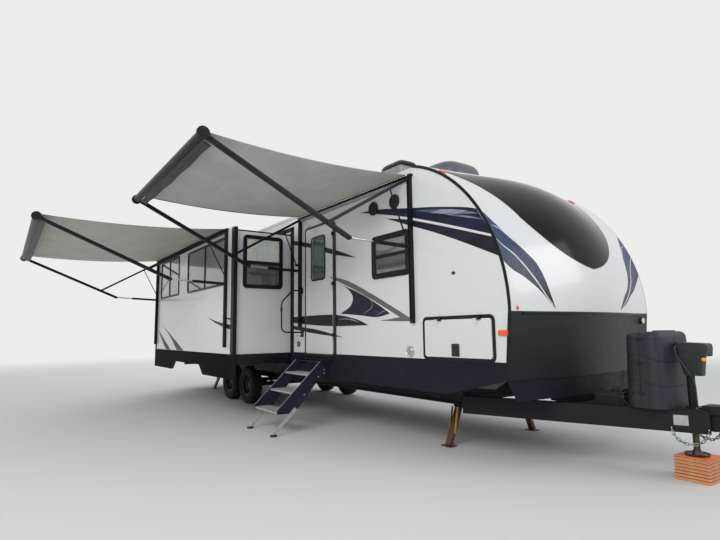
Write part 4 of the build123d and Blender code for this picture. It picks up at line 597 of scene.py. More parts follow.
def shape_mesh(shapes, place, flip=False):
    """Triangulated faces of flat outlines; place turns an outline's two numbers into a point."""
    bm = bmesh.new()
    for points in shapes:
        clean = [
            p for i, p in enumerate(points) if hypot(p[0] - points[i - 1][0], p[1] - points[i - 1][1]) > 1e-5
        ]
        spots, edges, faces, *rest = delaunay_2d_cdt(
            [Vector(p) for p in clean], [], [list(range(len(clean)))], 1, 1e-6
        )
        made = [bm.verts.new(place(*spot)) for spot in spots]
        for face in faces:
            corners = [made[i] for i in face]
            turned = signed_area([tuple(spots[i]) for i in face]) < 0
            bm.faces.new(corners[::-1] if turned != flip else corners)
    return bm


def cut(bm, point, normal, clear=False):
    """Cuts along a plane; clear takes away what is in front of it."""
    bmesh.ops.bisect_plane(
        bm, geom=bm.verts[:] + bm.edges[:] + bm.faces[:], plane_co=point, plane_no=normal, clear_outer=clear,
        dist=1e-6,
    )


def thicken(bm, offset):
    """Closes an open sheet with a copy of itself moved by offset, and walls along the open edges."""
    faces, rims = bm.faces[:], [e.link_loops[0] for e in bm.edges if e.is_boundary]
    rims = [(loop.vert, loop.link_loop_next.vert) for loop in rims]
    twin = {v: bm.verts.new(v.co + offset(v)) for v in bm.verts[:]}
    for face in faces:
        bm.faces.new([twin[v] for v in reversed(face.verts)])
    for a, b in rims:
        bm.faces.new((b, a, twin[a], twin[b]))


def linked_object(name, data):
    """New object in the scene's own collection."""
    made = bpy.data.objects.new(name, data)
    bpy.context.scene.collection.objects.link(made)
    return made


def add_piece(name, bm, body, *materials, smooth=False):
    """Makes the object of a finished mesh at the origin, and lets it ride on its body."""
    mesh = bpy.data.meshes.new(name)
    bm.to_mesh(mesh)
    bm.free()
    for material in materials:
        mesh.materials.append(material)
    for face in mesh.polygons:
        face.use_smooth = smooth
    piece = linked_object(name, mesh)
    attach(piece, body)
    return piece


# Films on the side walls, as x and z in metres: finish, layer, and the smooth runs of the outline
WALL_FILMS = (
    ("navy", 1, (
        ((-3.24, 2.812), (-2.834, 2.774), (-2.248, 2.669), (-1.862, 2.600), (-1.424, 2.506), (-1.262, 2.456)),
        ((-1.082, 2.174),),
        ((-1.644, 2.368), (-2.252, 2.562), (-2.86, 2.722), (-3.24, 2.812)),
    )),
    ("black", 1, (
        ((-2.69, 2.634), (-2.253, 2.534), (-1.645, 2.340), (-1.068, 2.146)),
        ((-0.985, 1.946),),
        ((-1.442, 2.151), (-1.874, 2.330), (-2.256, 2.470), (-2.69, 2.634)),
    )),
    ("silver", 2, (
        ((-2.16, 2.622), (-1.84, 2.572), (-1.467, 2.488), (-1.235, 2.404)),
        ((-1.532, 2.458), (-1.750, 2.505), (-1.960, 2.562), (-2.16, 2.622)),
    )),
    ("silver", 2, (
        ((-1.72, 2.492), (-1.408, 2.418), (-1.150, 2.327)),
        ((-1.409, 2.398), (-1.72, 2.492)),
    )),
    ("navy", 1, (
        ((-3.636, 1.902), (-3.25, 1.773), (-2.891, 1.619), (-2.634, 1.49)),
        ((-2.895, 1.457), (-3.215, 1.487), (-3.703, 1.529)),
        ((-3.472, 1.613), (-3.403, 1.721), (-3.491, 1.827), (-3.636, 1.902)),
    )),
    ("olive", 1, (
        ((-3.988, 2.057), (-3.555, 1.964), (-3.085, 1.785), (-2.596, 1.571), (-2.25, 1.415)),
        ((-2.22, 1.392),),
        ((-2.462, 1.396), (-2.859, 1.412)),
        ((-2.62, 1.428), (-2.461, 1.444)),
        ((-2.853, 1.617), (-3.337, 1.815), (-3.648, 1.928), (-3.988, 2.057)),
    )),
    ("black", 1, (
        ((-5.04, 1.525), (-4.4, 1.528), (-3.821, 1.517), (-3.344, 1.447), (-3.066, 1.362)),
        ((-3.8, 1.363), (-4.4, 1.388), (-5.04, 1.436)),
        ((-5.04, 1.525),),
    )),
    ("navy", 1, (
        ((-5.04, 1.388), (-4.3, 1.322), (-3.635, 1.213)),
        ((-4.3, 1.262), (-5.04, 1.336)),
        ((-5.04, 1.388),),
    )),
    ("navy", 1, (
        ((-5.04, 2.728), (-4.53, 2.609), (-3.809, 2.406), (-3.305, 2.235)),
        ((-3.81, 2.339), (-4.45, 2.522), (-5.04, 2.658)),
        ((-5.04, 2.728),),
    )),
)
WALL_LINES = (
    (2, 0.011, ((-3.04, 1.690), (-2.99, 1.640), (-2.985, 1.595), (-3.05, 1.550), (-3.17, 1.510))),
    (2, 0.016, ((-2.72, 1.535), (-2.80, 1.512), (-2.90, 1.480))),
    (2, 0.018, ((-3.75, 1.452), (-3.50, 1.452), (-3.28, 1.405))),
)
SLIDE_FILMS = (
    ("maroon", 1, (
        ((-9.374, 1.573), (-8.683, 1.354), (-8.062, 1.159), (-7.553, 0.986)),
        ((-7.989, 0.986),),
        ((-8.422, 1.221), (-8.947, 1.426), (-9.374, 1.573)),
    )),
    ("navy", 1, (
        ((-9.373, 1.379), (-8.916, 1.186), (-8.547, 1.041), (-8.44, 0.986)),
        ((-8.70, 0.986),),
        ((-8.873, 1.046), (-9.115, 1.186), (-9.373, 1.379)),
    )),
    ("navy", 1, (
        ((-6.238, 1.552), (-5.862, 1.484), (-5.46, 1.436), (-5.14, 1.405)),
        ((-5.14, 1.335),),
        ((-5.456, 1.374), (-5.86, 1.449), (-6.238, 1.552)),
    )),
    ("navy", 1, (
        ((-5.608, 1.558), (-5.465, 1.534), (-5.14, 1.50)),
        ((-5.14, 1.470),),
        ((-5.465, 1.516), (-5.608, 1.558)),
    )),
)
DOOR_OPENING = (-4.645, -3.855, 0.965, 2.835)
DOOR_PANEL = (-4.622, -3.878, 0.99, 2.81)
DOOR_WINDOW = (-4.45, -4.08, 2.04, 2.66)
CURB_OPENINGS = (DOOR_OPENING, (-2.955, -2.275, 1.93, 2.425))
ROAD_OPENINGS = ((-3.585, -2.415, 1.965, 2.485), (-6.285, -5.015, 1.815, 2.485))
DOOR_FACE_Y = CURB_Y - 0.012


def film_shapes(films, finish, layer):
    return [outline(*runs) for key, level, runs in films if (key, level) == (finish, layer)]


def cut_box(bm, box, clear=False):
    """Cuts along the four sides of a box of x0, x1, z0, z1; clear takes away what is outside it."""
    x0, x1, z0, z1 = box
    cut(bm, (x0, 0, 0), (-1, 0, 0), clear)
    cut(bm, (x1, 0, 0), (1, 0, 0), clear)
    cut(bm, (0, 0, z0), (0, 0, -1), clear)
    cut(bm, (0, 0, z1), (0, 0, 1), clear)


def drop_inside(bm, box):
    """Takes away the faces whose middle lies inside a box."""
    x0, x1, z0, z1 = box
    middles = [(face, face.calc_center_median()) for face in bm.faces]
    hidden = [face for face, spot in middles if x0 < spot.x < x1 and z0 < spot.z < z1]
    bmesh.ops.delete(bm, geom=hidden, context="FACES")


def flat_film(name, body, shapes, face_y, side, lift, material, openings=(), within=None):
    """Film on a wall: cut out of its openings or down to one panel, and closed at its edges."""
    if not shapes:
        return
    bm = shape_mesh(shapes, lambda x, z: (x, face_y + side * lift, z), flip=side > 0)
    if within is not None:
        cut_box(bm, within, clear=True)
    for box in (openings if within is None else ()):
        cut_box(bm, box)
        drop_inside(bm, box)
    if within == DOOR_PANEL:
        cut_box(bm, DOOR_WINDOW)
        drop_inside(bm, DOOR_WINDOW)
    if not bm.faces:
        bm.free()
        return
    down = Vector((0, -side * (lift + 0.0002), 0))
    thicken(bm, lambda v: down)
    add_piece(name, bm, body, material)


class CARAVAN_OT_wall_stripes(bpy.types.Operator):
    """Lay the printed films on both side walls, the entry door and the slide-out"""

    bl_idname = "caravan.wall_stripes"
    bl_label = "Wall stripes"

    def execute(self, context):
        look = context.scene.caravan_colours
        film = context.scene.caravan_sizes.film
        finishes = {
            "navy": printed_film("Navy film", look.navy, hex_linear("#19213F")),
            "black": printed_film("Black film", hex_linear("#101319"), hex_linear("#1C2230")),
            "silver": printed_film("Silver streak film", hex_linear("#8E96A6"), hex_linear("#39415A")),
            "olive": printed_film("Olive film", look.olive, scaled(look.olive, 1.25)),
            "maroon": printed_film("Maroon film", hex_linear("#241A1D"), hex_linear("#4B3032")),
        }
        for finish, material in finishes.items():
            for layer in (1, 2):
                shapes = film_shapes(WALL_FILMS, finish, layer)
                if finish == "silver":
                    shapes += [ribbon(points, width) for level, width, points in WALL_LINES if level == layer]
                tag = f"{finish}_{layer}"
                flat_film("curb_" + tag, "caravan", shapes, CURB_Y, -1, layer * film, material, CURB_OPENINGS)
                flat_film(
                    "door_" + tag, "entry_door", shapes, DOOR_FACE_Y, -1, layer * film, material,
                    within=DOOR_PANEL
                )
                flat_film("road_" + tag, "caravan", shapes, ROAD_Y, 1, layer * film, material, ROAD_OPENINGS)
                slide = film_shapes(SLIDE_FILMS, finish, layer)
                flat_film("slide_" + tag, "slide_out", slide, SLIDE_Y, -1, layer * film, material)
        return {"FINISHED"}


def face_copy(node, test):
    """Open copy of the faces of a CAD node that pass a test, with its doubles merged."""
    bm = bmesh.new()
    bm.from_mesh(NODES[node].data)
    bmesh.ops.remove_doubles(bm, verts=bm.verts[:], dist=1e-5)
    bm.normal_update()
    bmesh.ops.delete(bm, geom=[f for f in bm.faces if not test(f)], context="FACES")
    return bm


class CARAVAN_OT_slide_kick(bpy.types.Operator):
    """Add the black kick sheet and corner trim of the slide-out, and the seal round its opening"""

    bl_idname = "caravan.slide_kick"
    bl_label = "Slide-out kick sheet"

    def execute(self, context):
        dark = coated_metal("Black kick sheet", hex_linear("#0A0B0D"), 0.6, 0.03)
        bm = face_copy(
            "slide_fascia", lambda f: f.normal.y < -0.9 and abs(f.calc_center_median().y - SLIDE_Y) < 1e-3
        )
        cut(bm, (0, 0, 0.982), (0, 0, 1), clear=True)
        for v in bm.verts:
            v.co.y = SLIDE_Y - 0.0008
        thicken(bm, lambda v: Vector((0, 0.0009, 0)))
        add_piece("slide_kick_sheet", bm, "slide_out", dark)
        black = coated_metal("Corner trim coat", context.scene.caravan_colours.black_trim, 0.45)
        low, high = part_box("slide_fascia")
        bm = bmesh.new()
        for edge, way in ((low.x, 1), (high.x, -1)):
            ends = sorted((edge - way * 0.003, edge + way * 0.110))
            slab(bm, (ends[0], low.y - 0.0075, 0.985), (ends[1], low.y + 0.0005, high.z - 0.012), 0.002)
            ends = sorted((edge - way * 0.003, edge + way * 0.0005))
            slab(
                bm, (ends[0], low.y - 0.0075, low.z + 0.004), (ends[1], high.y + 0.0015, high.z - 0.012),
                0.001
            )
        add_piece("slide_corner_trim", bm, "slide_out", black)
        bm = bmesh.new()
        for edge, way in ((low.x, 1), (high.x, -1)):
            ends = sorted((edge - way * 0.0065, edge - way * 0.075))
            slab(bm, (ends[0], CURB_Y - 0.0085, 0.985), (ends[1], CURB_Y + 0.0005, high.z + 0.075), 0.002)
            ends = sorted((edge - way * 0.0065, edge - way * 0.016))
            slab(bm, (ends[0], CURB_Y - 0.026, 0.985), (ends[1], CURB_Y + 0.0005, high.z + 0.020), 0.003)
        slab(
            bm, (low.x - 0.075, CURB_Y - 0.0085, high.z + 0.0065),
            (high.x + 0.075, CURB_Y + 0.0005, high.z + 0.075), 0.002
        )
        add_piece("slide_opening_trim", bm, "caravan", rubber("Opening seal rubber", hex_linear("#0F1012")))
        return {"FINISHED"}


# Blades on the cap, as y and z seen from the front
BLADE_CURB = (
    ((-1.2195, 2.41), (-1.133, 2.291), (-1.019, 2.157), (-0.898, 2.024), (-0.802, 1.909), (-0.744, 1.771),
     (-0.700, 1.629), (-0.640, 1.478)),
    ((-0.724, 1.553), (-0.852, 1.669), (-1.0, 1.772), (-1.116, 1.827), (-1.208, 1.897), (-1.2195, 1.925)),
    ((-1.2195, 2.41),),
)
PIN_CURB = (
    (-1.2195, 2.128), (-1.157, 2.063), (-1.045, 1.981), (-0.945, 1.863), (-0.841, 1.724), (-0.749, 1.596),
    (-0.672, 1.512),
)
STREAK_CURB = ((-1.194, 2.272), (-1.118, 2.244), (-1.049, 2.184), (-0.985, 2.112))
BLADE_ROAD = (
    ((1.2195, 2.41), (1.10, 2.26), (1.0, 2.13), (0.945, 2.015), (0.886, 1.872), (0.783, 1.733),
     (0.619, 1.611), (0.50, 1.477)),
    ((0.66, 1.545), (0.82, 1.640), (0.95, 1.700), (1.08, 1.79), (1.208, 1.897), (1.2195, 1.925)),
    ((1.2195, 2.41),),
)
PIN_ROAD = (
    (1.2195, 2.128), (1.12, 2.04), (1.02, 1.93), (0.93, 1.80), (0.80, 1.675), (0.66, 1.575), (0.55, 1.51),
)


def node_tree_of(*names):
    """Ray-casting tree of CAD nodes, for laying pieces on their surfaces."""
    points, faces = [], []
    for name in names:
        mesh = NODES[name].data
        start = len(points)
        points += [v.co.copy() for v in mesh.vertices]
        faces += [[start + i for i in face.vertices] for face in mesh.polygons]
    return BVHTree.FromPolygons(points, faces)


def cap_film(name, shapes, lift, material, skin, piece=0.03):
    """Film laid on the cap: a fine mesh dropped onto its surface from the front."""
    bm = shape_mesh(shapes, lambda y, z: (0.0, y, z))
    for axis, low, high in ((1, -1.22, 1.22), (2, 1.4, 2.5)):
        spot = low + piece
        while spot < high:
            normal = Vector((0, 0, 0))
            normal[axis] = 1
            cut(bm, normal * spot, normal)
            spot += piece
    outward = {}
    for v in bm.verts:
        hit, normal, *rest = skin.ray_cast(Vector((1.5, v.co.y, v.co.z)), Vector((-1, 0, 0)))
        if hit is None:
            hit, normal, *rest = skin.find_nearest(Vector((-1.1, v.co.y, v.co.z)))
        normal = normal if normal.x > 0 else -normal
        v.co = hit + normal * lift
        outward[v] = normal
    inward = {v: -normal * (lift + 0.0002) for v, normal in outward.items()}
    thicken(bm, lambda v: inward[v])
    return add_piece(name, bm, "caravan", material, smooth=False)


class CARAVAN_OT_cap_blades(bpy.types.Operator):
    """Lay the two blue blades with their white lines on the cap"""

    bl_idname = "caravan.cap_blades"
    bl_label = "Cap blades"

    def execute(self, context):
        film = context.scene.caravan_sizes.film
        skin = node_tree_of("cap_upper")
        upper = fading_film("Blue film", hex_linear("#22355F"), hex_linear("#131827"), 1.55, 2.25)
        lower = fading_film("Grey blue film", hex_linear("#35415A"), hex_linear("#1B2029"), 1.55, 2.1)
        white = printed_film("White line film", hex_linear("#E4E8EE"), hex_linear("#CFD6DF"))
        for side, blade, pin in (("curb", BLADE_CURB, PIN_CURB), ("road", BLADE_ROAD, PIN_ROAD)):
            outer, inner, close = blade
            shade = [outline(outer, tuple(reversed(pin)), (outer[0],))]
            cap_film("blade_" + side, [outline(outer, inner, close)], film * 1.2, lower, skin)
            cap_film("blade_top_" + side, shade, film * 2.0, upper, skin)
            cap_film("blade_line_" + side, [ribbon(pin, 0.016)], film * 3.0, white, skin)
        cap_film("blade_streak_curb", [ribbon(STREAK_CURB, 0.010)], film * 3.0, white, skin)
        cap_film(
            "blade_streak_road", [ribbon([(-y, z) for y, z in STREAK_CURB], 0.010)], film * 3.0, white, skin
        )
        return {"FINISHED"}


# Awnings: name, body, x of both ends, rail and roller as (y, z), share of the sag, CAD cloth and frame
ROLLER_R = 0.042
POST_D = 0.045
AWNINGS = (
    (
        "awning", "caravan", (-4.765, -2.245), (-1.22, 3.030), (-3.600, 3.010), 1.0, "awning_cloth",
        "awning_frame"
    ),
    ("slide_awning", "slide_out", (-9.52, -5.43), (-2.166, 2.862), (-4.650, 2.775), 0.9, "slide_awning_cloth",
     "slide_awning_frame"),
)


def cloth_grid(x0, x1, across, line, wave):
    """Open sheet: the line of (y, z) points repeated along x, moved up or down by wave(x, y)."""
    bm = bmesh.new()
    rows = []
    for i in range(across + 1):
        x = x0 + (x1 - x0) * i / across
        rows.append(
            [bm.verts.new((x, y, z + wave(i / across, j / (len(line) - 1)))) for j, (y, z) in enumerate(line)]
        )
    for a, b in zip(rows, rows[1:]):
        for p, q, r, s in zip(a, a[1:], b[1:], b):
            bm.faces.new((p, s, r, q))
    return bm


class CARAVAN_OT_awning_cloths(bpy.types.Operator):
    """Stretch both awning cloths with their sag, stretch marks and dark weather flap"""

    bl_idname = "caravan.awning_cloths"
    bl_label = "Awning cloths"

    def execute(self, context):
        look = context.scene.caravan_colours
        flap_vinyl = awning_vinyl("Dark flap vinyl", hex_linear("#2A2B2D"))
        hem_vinyl = awning_vinyl("Black hem vinyl", hex_linear("#17181A"))
        for name, body, (x0, x1), rail, roller, share, cad_cloth, cad_frame in AWNINGS:
            sag = share * context.scene.caravan_sizes.sag
            colour = look.awning_cloth if name == "awning" else look.slide_cloth
            vinyl = awning_vinyl(name.replace("_", " ").capitalize() + " vinyl", colour)
            start = (rail[0] - POST_D - 0.002, rail[1] + 0.019)
            end = (roller[0], roller[1] + ROLLER_R + 0.003)
            line = []
            for i in range(57):
                u = i / 56
                line.append((
                    start[0] + (end[0] - start[0]) * u,
                    start[1] + (end[1] - start[1]) * u - sag * 4 * u * (1 - u),
                ))

            def wave(across, u):
                held = min(1.0, u * 8, (1 - u) * 8)
                middle = sin(pi * across)
                marks = 0.0016 * sin(46 * u + 3 * sin(5 * across)) * max(0.0, sin(pi * u * 1.1 + 0.2))
                return held * (0.010 * middle + marks * (0.4 + across) * middle)

            bm = cloth_grid(x0, x1, 64, line, wave)
            for face in bm.faces:
                x = face.calc_center_median().x
                face.material_index = 1 if min(abs(x - x0), abs(x - x1)) < (x1 - x0) / 64 else 0
            thicken(bm, lambda v: Vector((0, 0, -0.0008)))
            for face in bm.faces:
                x = face.calc_center_median().x
                face.material_index = 1 if min(abs(x - x0), abs(x - x1)) < (x1 - x0) / 128 else 0
            cloth = add_piece(name + "_sheet", bm, body, vinyl, hem_vinyl, smooth=True)
            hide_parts(cad_cloth)
            drop = 0.085
            flap_line = []
            for i in range(9):
                u = i / 8
                flap_line.append((
                    roller[0] + 0.026 + 0.075 * u,
                    roller[1] - ROLLER_R * 0.82 - 0.004 - drop * 0.35 * u ** 1.4,
                ))
            flap = cloth_grid(
                x0 + 0.02, x1 - 0.02, 48, flap_line,
                lambda across, u: u * (0.006 * sin(across * 23) - 0.014 * sin(pi * across)),
            )
            thicken(flap, lambda v: Vector((0, 0, -0.0008)))
            sheet = add_piece(name + "_flap", flap, body, flap_vinyl, smooth=True)
        return {"FINISHED"}


def join_rings(bm, rings, count):
    """Faces between rings that have count points or a single one."""
    made = []
    for a, b in zip(rings, rings[1:]):
        for i in range(count):
            corners = [a[i % len(a)], a[(i + 1) % len(a)], b[(i + 1) % len(b)], b[i % len(b)]]
            made.append(bm.faces.new(list(dict.fromkeys(corners))))
    return made


def lathe(bm, profile, centre, axis, count, closed=False, slot=0):
    """Turns (radius, along) points about an axis through the centre; a radius of 0 closes an end."""
    u, w = ((1, 2), (2, 0), (0, 1))[axis]
    rings = []
    for radius, along in profile:
        ring = []
        for i in range(count if radius > 1e-6 else 1):
            spot = Vector(centre)
            spot[axis] += along
            spot[u] += radius * cos(2 * pi * i / count)
            spot[w] += radius * sin(2 * pi * i / count)
            ring.append(bm.verts.new(spot))
        rings.append(ring)
    if closed:
        rings.append(rings[0])
    made = join_rings(bm, rings, count)
    for face in made:
        face.material_index = slot
    bmesh.ops.recalc_face_normals(bm, faces=made)
    return made


def slab(bm, low, high, round_by=0.002, slot=0, segments=2):
    """Block between two corners with rounded edges."""
    low, high = Vector(low), Vector(high)
    place = Matrix.Translation((low + high) / 2) @ Matrix.Diagonal((*(high - low), 1.0))
    made = bmesh.ops.create_cube(bm, size=1.0, matrix=place)["verts"]
    edges = list({e for v in made for e in v.link_edges})
    for face in {f for v in made for f in v.link_faces}:
        face.material_index = slot
    bmesh.ops.bevel(
        bm, geom=edges, offset=round_by, segments=segments, affect="EDGES", profile=0.5, material=slot
    )


def pipe(bm, points, radius, count=10, slot=0):
    """Round bar along points, closed at both ends."""
    points = [Vector(p) for p in points]
    rings = []
    side = None
    for i, p in enumerate(points):
        ahead = (points[min(i + 1, len(points) - 1)] - points[max(i - 1, 0)]).normalized()
        side = (side or ahead.orthogonal()).normalized()
        side = (side - ahead * side.dot(ahead)).normalized()
        up = ahead.cross(side)
        rings.append([
            bm.verts.new(p + radius * (cos(2 * pi * k / count) * side + sin(2 * pi * k / count) * up))
            for k in range(count)
        ])
    made = []
    for a, b in zip(rings, rings[1:]):
        for k in range(count):
            made.append(bm.faces.new((a[k], a[(k + 1) % count], b[(k + 1) % count], b[k])))
    made += [bm.faces.new(rings[0][::-1]), bm.faces.new(rings[-1])]
    for face in made:
        face.material_index = slot
    bmesh.ops.recalc_face_normals(bm, faces=made)


def section_bar(bm, profile, x0, x1, slot=0):
    """Straight bar along X with a closed section of (y, z) points."""
    ends = [[bm.verts.new((x, y, z)) for y, z in profile] for x in (x0, x1)]
    made = [bm.faces.new(ends[0]), bm.faces.new(ends[1][::-1])]
    for i in range(len(profile)):
        j = (i + 1) % len(profile)
        made.append(bm.faces.new((ends[0][i], ends[1][i], ends[1][j], ends[0][j])))
    for face in made:
        face.material_index = slot
    bmesh.ops.recalc_face_normals(bm, faces=made)


def repeat_tree():
    """Geometry Nodes tree: sets a small shape at an even pitch along lines, outwards or round a centre."""
    tree = bpy.data.node_groups.new("Repeat along lines", "GeometryNodeTree")
    tree.is_modifier = True
    for name, kind in (
        ("Line", "Geometry"), ("Shape", "Object"), ("Pitch", "Float"), ("Outward", "Vector"),
        ("Centre", "Vector"),
        ("Round a centre", "Bool"), ("Finish", "Material"),
    ):
        tree.interface.new_socket(name, in_out="INPUT", socket_type="NodeSocket" + kind)
    tree.interface.new_socket("Geometry", in_out="OUTPUT", socket_type="NodeSocketGeometry")
    given = add_node(tree, "NodeGroupInput").outputs
    curve = add_node(tree, "GeometryNodeMeshToCurve", {"Mesh": given["Line"]})
    spots = add_node(
        tree, "GeometryNodeCurveToPoints", {"Curve": curve.outputs["Curve"], "Length": given["Pitch"]},
        mode="LENGTH"
    )
    here = add_node(tree, "GeometryNodeInputPosition")
    from_centre = add_node(
        tree, "ShaderNodeVectorMath", {0: here.outputs["Position"], 1: given["Centre"]}, operation="SUBTRACT"
    )
    up = add_node(
        tree, "GeometryNodeSwitch",
        {"Switch": given["Round a centre"], "False": given["Outward"], "True": from_centre.outputs["Vector"]},
        input_type="VECTOR",
    )
    stand = add_node(tree, "FunctionNodeAlignRotationToVector", {"Vector": up.outputs["Output"]}, axis="Z")
    turn = add_node(
        tree, "FunctionNodeAlignRotationToVector", {"Rotation": stand.outputs["Rotation"]},
        {"Vector": (0.0, 1.0, 0.0)}, axis="Y", pivot_axis="Z",
    )
    shape = add_node(tree, "GeometryNodeObjectInfo", {"Object": given["Shape"]})
    placed = add_node(
        tree, "GeometryNodeInstanceOnPoints",
        {
            "Points": spots.outputs["Points"], "Instance": shape.outputs["Geometry"],
            "Rotation": turn.outputs["Rotation"],
        },
    )
    real = add_node(tree, "GeometryNodeRealizeInstances", {"Geometry": placed.outputs["Instances"]})
    finished = add_node(
        tree, "GeometryNodeSetMaterial", {"Geometry": real.outputs["Geometry"], "Material": given["Finish"]}
    )
    add_node(tree, "NodeGroupOutput", {"Geometry": finished.outputs["Geometry"]})
    return tree


def small_shape(name, build):
    """A small shape at the origin, standing up along Z, for the repeats."""
    bm = bmesh.new()
    build(bm)
    mesh = bpy.data.meshes.new(name)
    bm.to_mesh(mesh)
    bm.free()
    shape = linked_object(name, mesh)
    return shape


def screw_head(bm, radius=0.0045, height=0.0022):
    lathe(
        bm, [(0, -0.001), (radius, -0.001), (radius, 0.0004), (radius * 0.6, height), (0, height)], (0, 0, 0),
        2, 8
    )


def repeat(name, body, lines, build, pitch, finish, outward=(0, 0, 1), centre=None):
    """One plain mesh of a small shape repeated along lines, riding on a body."""
    tree = bpy.data.node_groups.get("Repeat along lines") or repeat_tree()
    mesh = bpy.data.meshes.new(name + "_lines")
    spots, edges = [], []
    for line in lines:
        start = len(spots)
        spots += [tuple(p) for p in line]
        edges += [(start + i, start + i + 1) for i in range(len(line) - 1)]
        if centre is not None:
            edges.append((start + len(line) - 1, start))
    mesh.from_pydata(spots, edges, [])
    piece = linked_object(name, mesh)
    shape = small_shape(name + "_shape", build)
    step = piece.modifiers.new("Repeat", "NODES")
    step.node_group = tree
    sockets = {s.name: s.identifier for s in tree.interface.items_tree if s.in_out == "INPUT"}
    step[sockets["Shape"]] = shape
    step[sockets["Pitch"]] = pitch
    step[sockets["Outward"]] = outward
    step[sockets["Centre"]] = centre or (0.0, 0.0, 0.0)
    step[sockets["Round a centre"]] = centre is not None
    step[sockets["Finish"]] = finish
    bpy.context.view_layer.update()
    seen = piece.evaluated_get(bpy.context.evaluated_depsgraph_get())
    made = bpy.data.meshes.new_from_object(seen)
    if not made.polygons:
        raise RuntimeError(name + " came out empty")
    piece.modifiers.clear()
    piece.data = made
    made.name = name
    if not made.materials:
        made.materials.append(finish)
    bpy.data.objects.remove(shape)
    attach(piece, body)
    return piece


def ring_points(centre, radius, axis, count):
    u, w = ((1, 2), (2, 0), (0, 1))[axis]
    points = []
    for i in range(count):
        spot = Vector(centre)
        spot[u] += radius * cos(2 * pi * i / count)
        spot[w] += radius * sin(2 * pi * i / count)
        points.append(spot)
    return points


WHEELS = [
    (f"{place}_{side}", x, 1.08 * sign, sign)
    for place, x in (("front", -7.0), ("rear", -7.87)) for side, sign in (("curb", -1), ("road", 1))
]
TYRE_SECTION = (
    (0.1935, -0.0805), (0.2005, -0.0890), (0.2060, -0.0915), (0.2090, -0.0975), (0.2400, -0.1020),
    (0.2750, -0.1012),
    (0.2930, -0.0990), (0.2945, -0.1004), (0.2975, -0.1004), (0.2990, -0.0978), (0.3160, -0.0910),
    (0.3290, -0.0800),
    (0.3365, -0.0690), (0.3370, -0.0480), (0.3320, -0.0465), (0.3320, -0.0405), (0.3370, -0.0390),
    (0.3370, -0.0185),
    (0.3320, -0.0170), (0.3320, -0.0110), (0.3370, -0.0095),
)

NUT_SECTION = ((0, -0.012), (0.0125, -0.012), (0.0125, 0.008), (0.008, 0.014), (0, 0.014))


class CARAVAN_OT_wheels(bpy.types.Operator):
    """Build the four tyres with their tread blocks, and the nuts and valves of the rims"""

    bl_idname = "caravan.wheels"
    bl_label = "Tyres and wheel nuts"

    def execute(self, context):
        tread_rubber = rubber("Tread rubber", hex_linear("#222221"))
        side_rubber = rubber("Sidewall rubber", hex_linear("#191919"))
        zinc = steel("Zinc nut", hex_linear("#A7A9AA"), 0.3)
        profile = list(TYRE_SECTION) + [(r, -along) for r, along in reversed(TYRE_SECTION)]

        def block(bm):
            low = [
                bm.verts.new((x * 0.0132, y * 0.0102, -0.004))
                for x, y in ((-1, -1), (1, -1), (1, 1), (-1, 1))
            ]
            top = [
                bm.verts.new((x * 0.0120 + 0.002 * y, y * 0.0094, 0.0))
                for x, y in ((-1, -1), (1, -1), (1, 1), (-1, 1))
            ]
            made = [bm.faces.new(low[::-1]), bm.faces.new(top)]
            made += [bm.faces.new((low[i], low[i - 3], top[i - 3], top[i])) for i in range(4)]
            bmesh.ops.recalc_face_normals(bm, faces=made)

        for name, x, y, sign in WHEELS:
            centre = Vector((x, y, WHEEL_Z))
            bm = bmesh.new()
            for face in lathe(bm, profile, centre, 1, 96, closed=True):
                middle = face.calc_center_median() - centre
                face.material_index = 0 if hypot(middle.x, middle.z) > 0.330 else 1
            tyre = add_piece(
                "tread_tyre_" + name, bm, "wheel_" + name, tread_rubber, side_rubber, smooth=True
            )
            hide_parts("tyre_" + name)
            rows = [
                ring_points((x, y + along, WHEEL_Z), 0.3436, 1, 90)
                for along in (-0.058, -0.029, 0.0, 0.029, 0.058)
            ]
            repeat(
                "tread_blocks_" + name, "wheel_" + name, rows, block, 0.0327, tread_rubber,
                centre=(x, y, WHEEL_Z)
            )
            bm = bmesh.new()
            for i in range(6):
                turn = radians(60 * i + 30)
                spot = (x + 0.065 * cos(turn), y + sign * 0.004, WHEEL_Z + 0.065 * sin(turn))
                lathe(bm, [(radius, sign * along) for radius, along in NUT_SECTION], spot, 1, 6)
            pipe(
                bm, [(x + 0.158, y + sign * 0.006, WHEEL_Z), (x + 0.161, y + sign * 0.034, WHEEL_Z)], 0.0045,
                8
            )
            add_piece("wheel_nuts_" + name, bm, "wheel_" + name, zinc)
        return {"FINISHED"}


def bead_material(name, colour, metal=0.0):
    material, tree, shader, place = start_material(name, Metallic=metal, IOR=1.5)
    two_tone(tree, shader, place, colour, scaled(colour, 0.8), 0.08)
    uneven(tree, shader, place, 0.02, 0.28, 0.42, 0.0003, 0.15)
    return material


def wrap_round(skin, z, count=90, reach=1.45):
    """Points and outward directions where a level plane meets the cap, from curb side to road side."""
    centre = Vector((-2.1, 0, z))
    found = []
    for i in range(count + 1):
        turn = -reach / 2 + reach * i / count
        out = Vector((cos(turn), sin(turn), 0))
        hit, normal, *rest = skin.ray_cast(centre + 4 * out, -out)
        if hit is not None:
            found.append((hit, normal if normal.dot(out) > 0 else -normal))
    return found


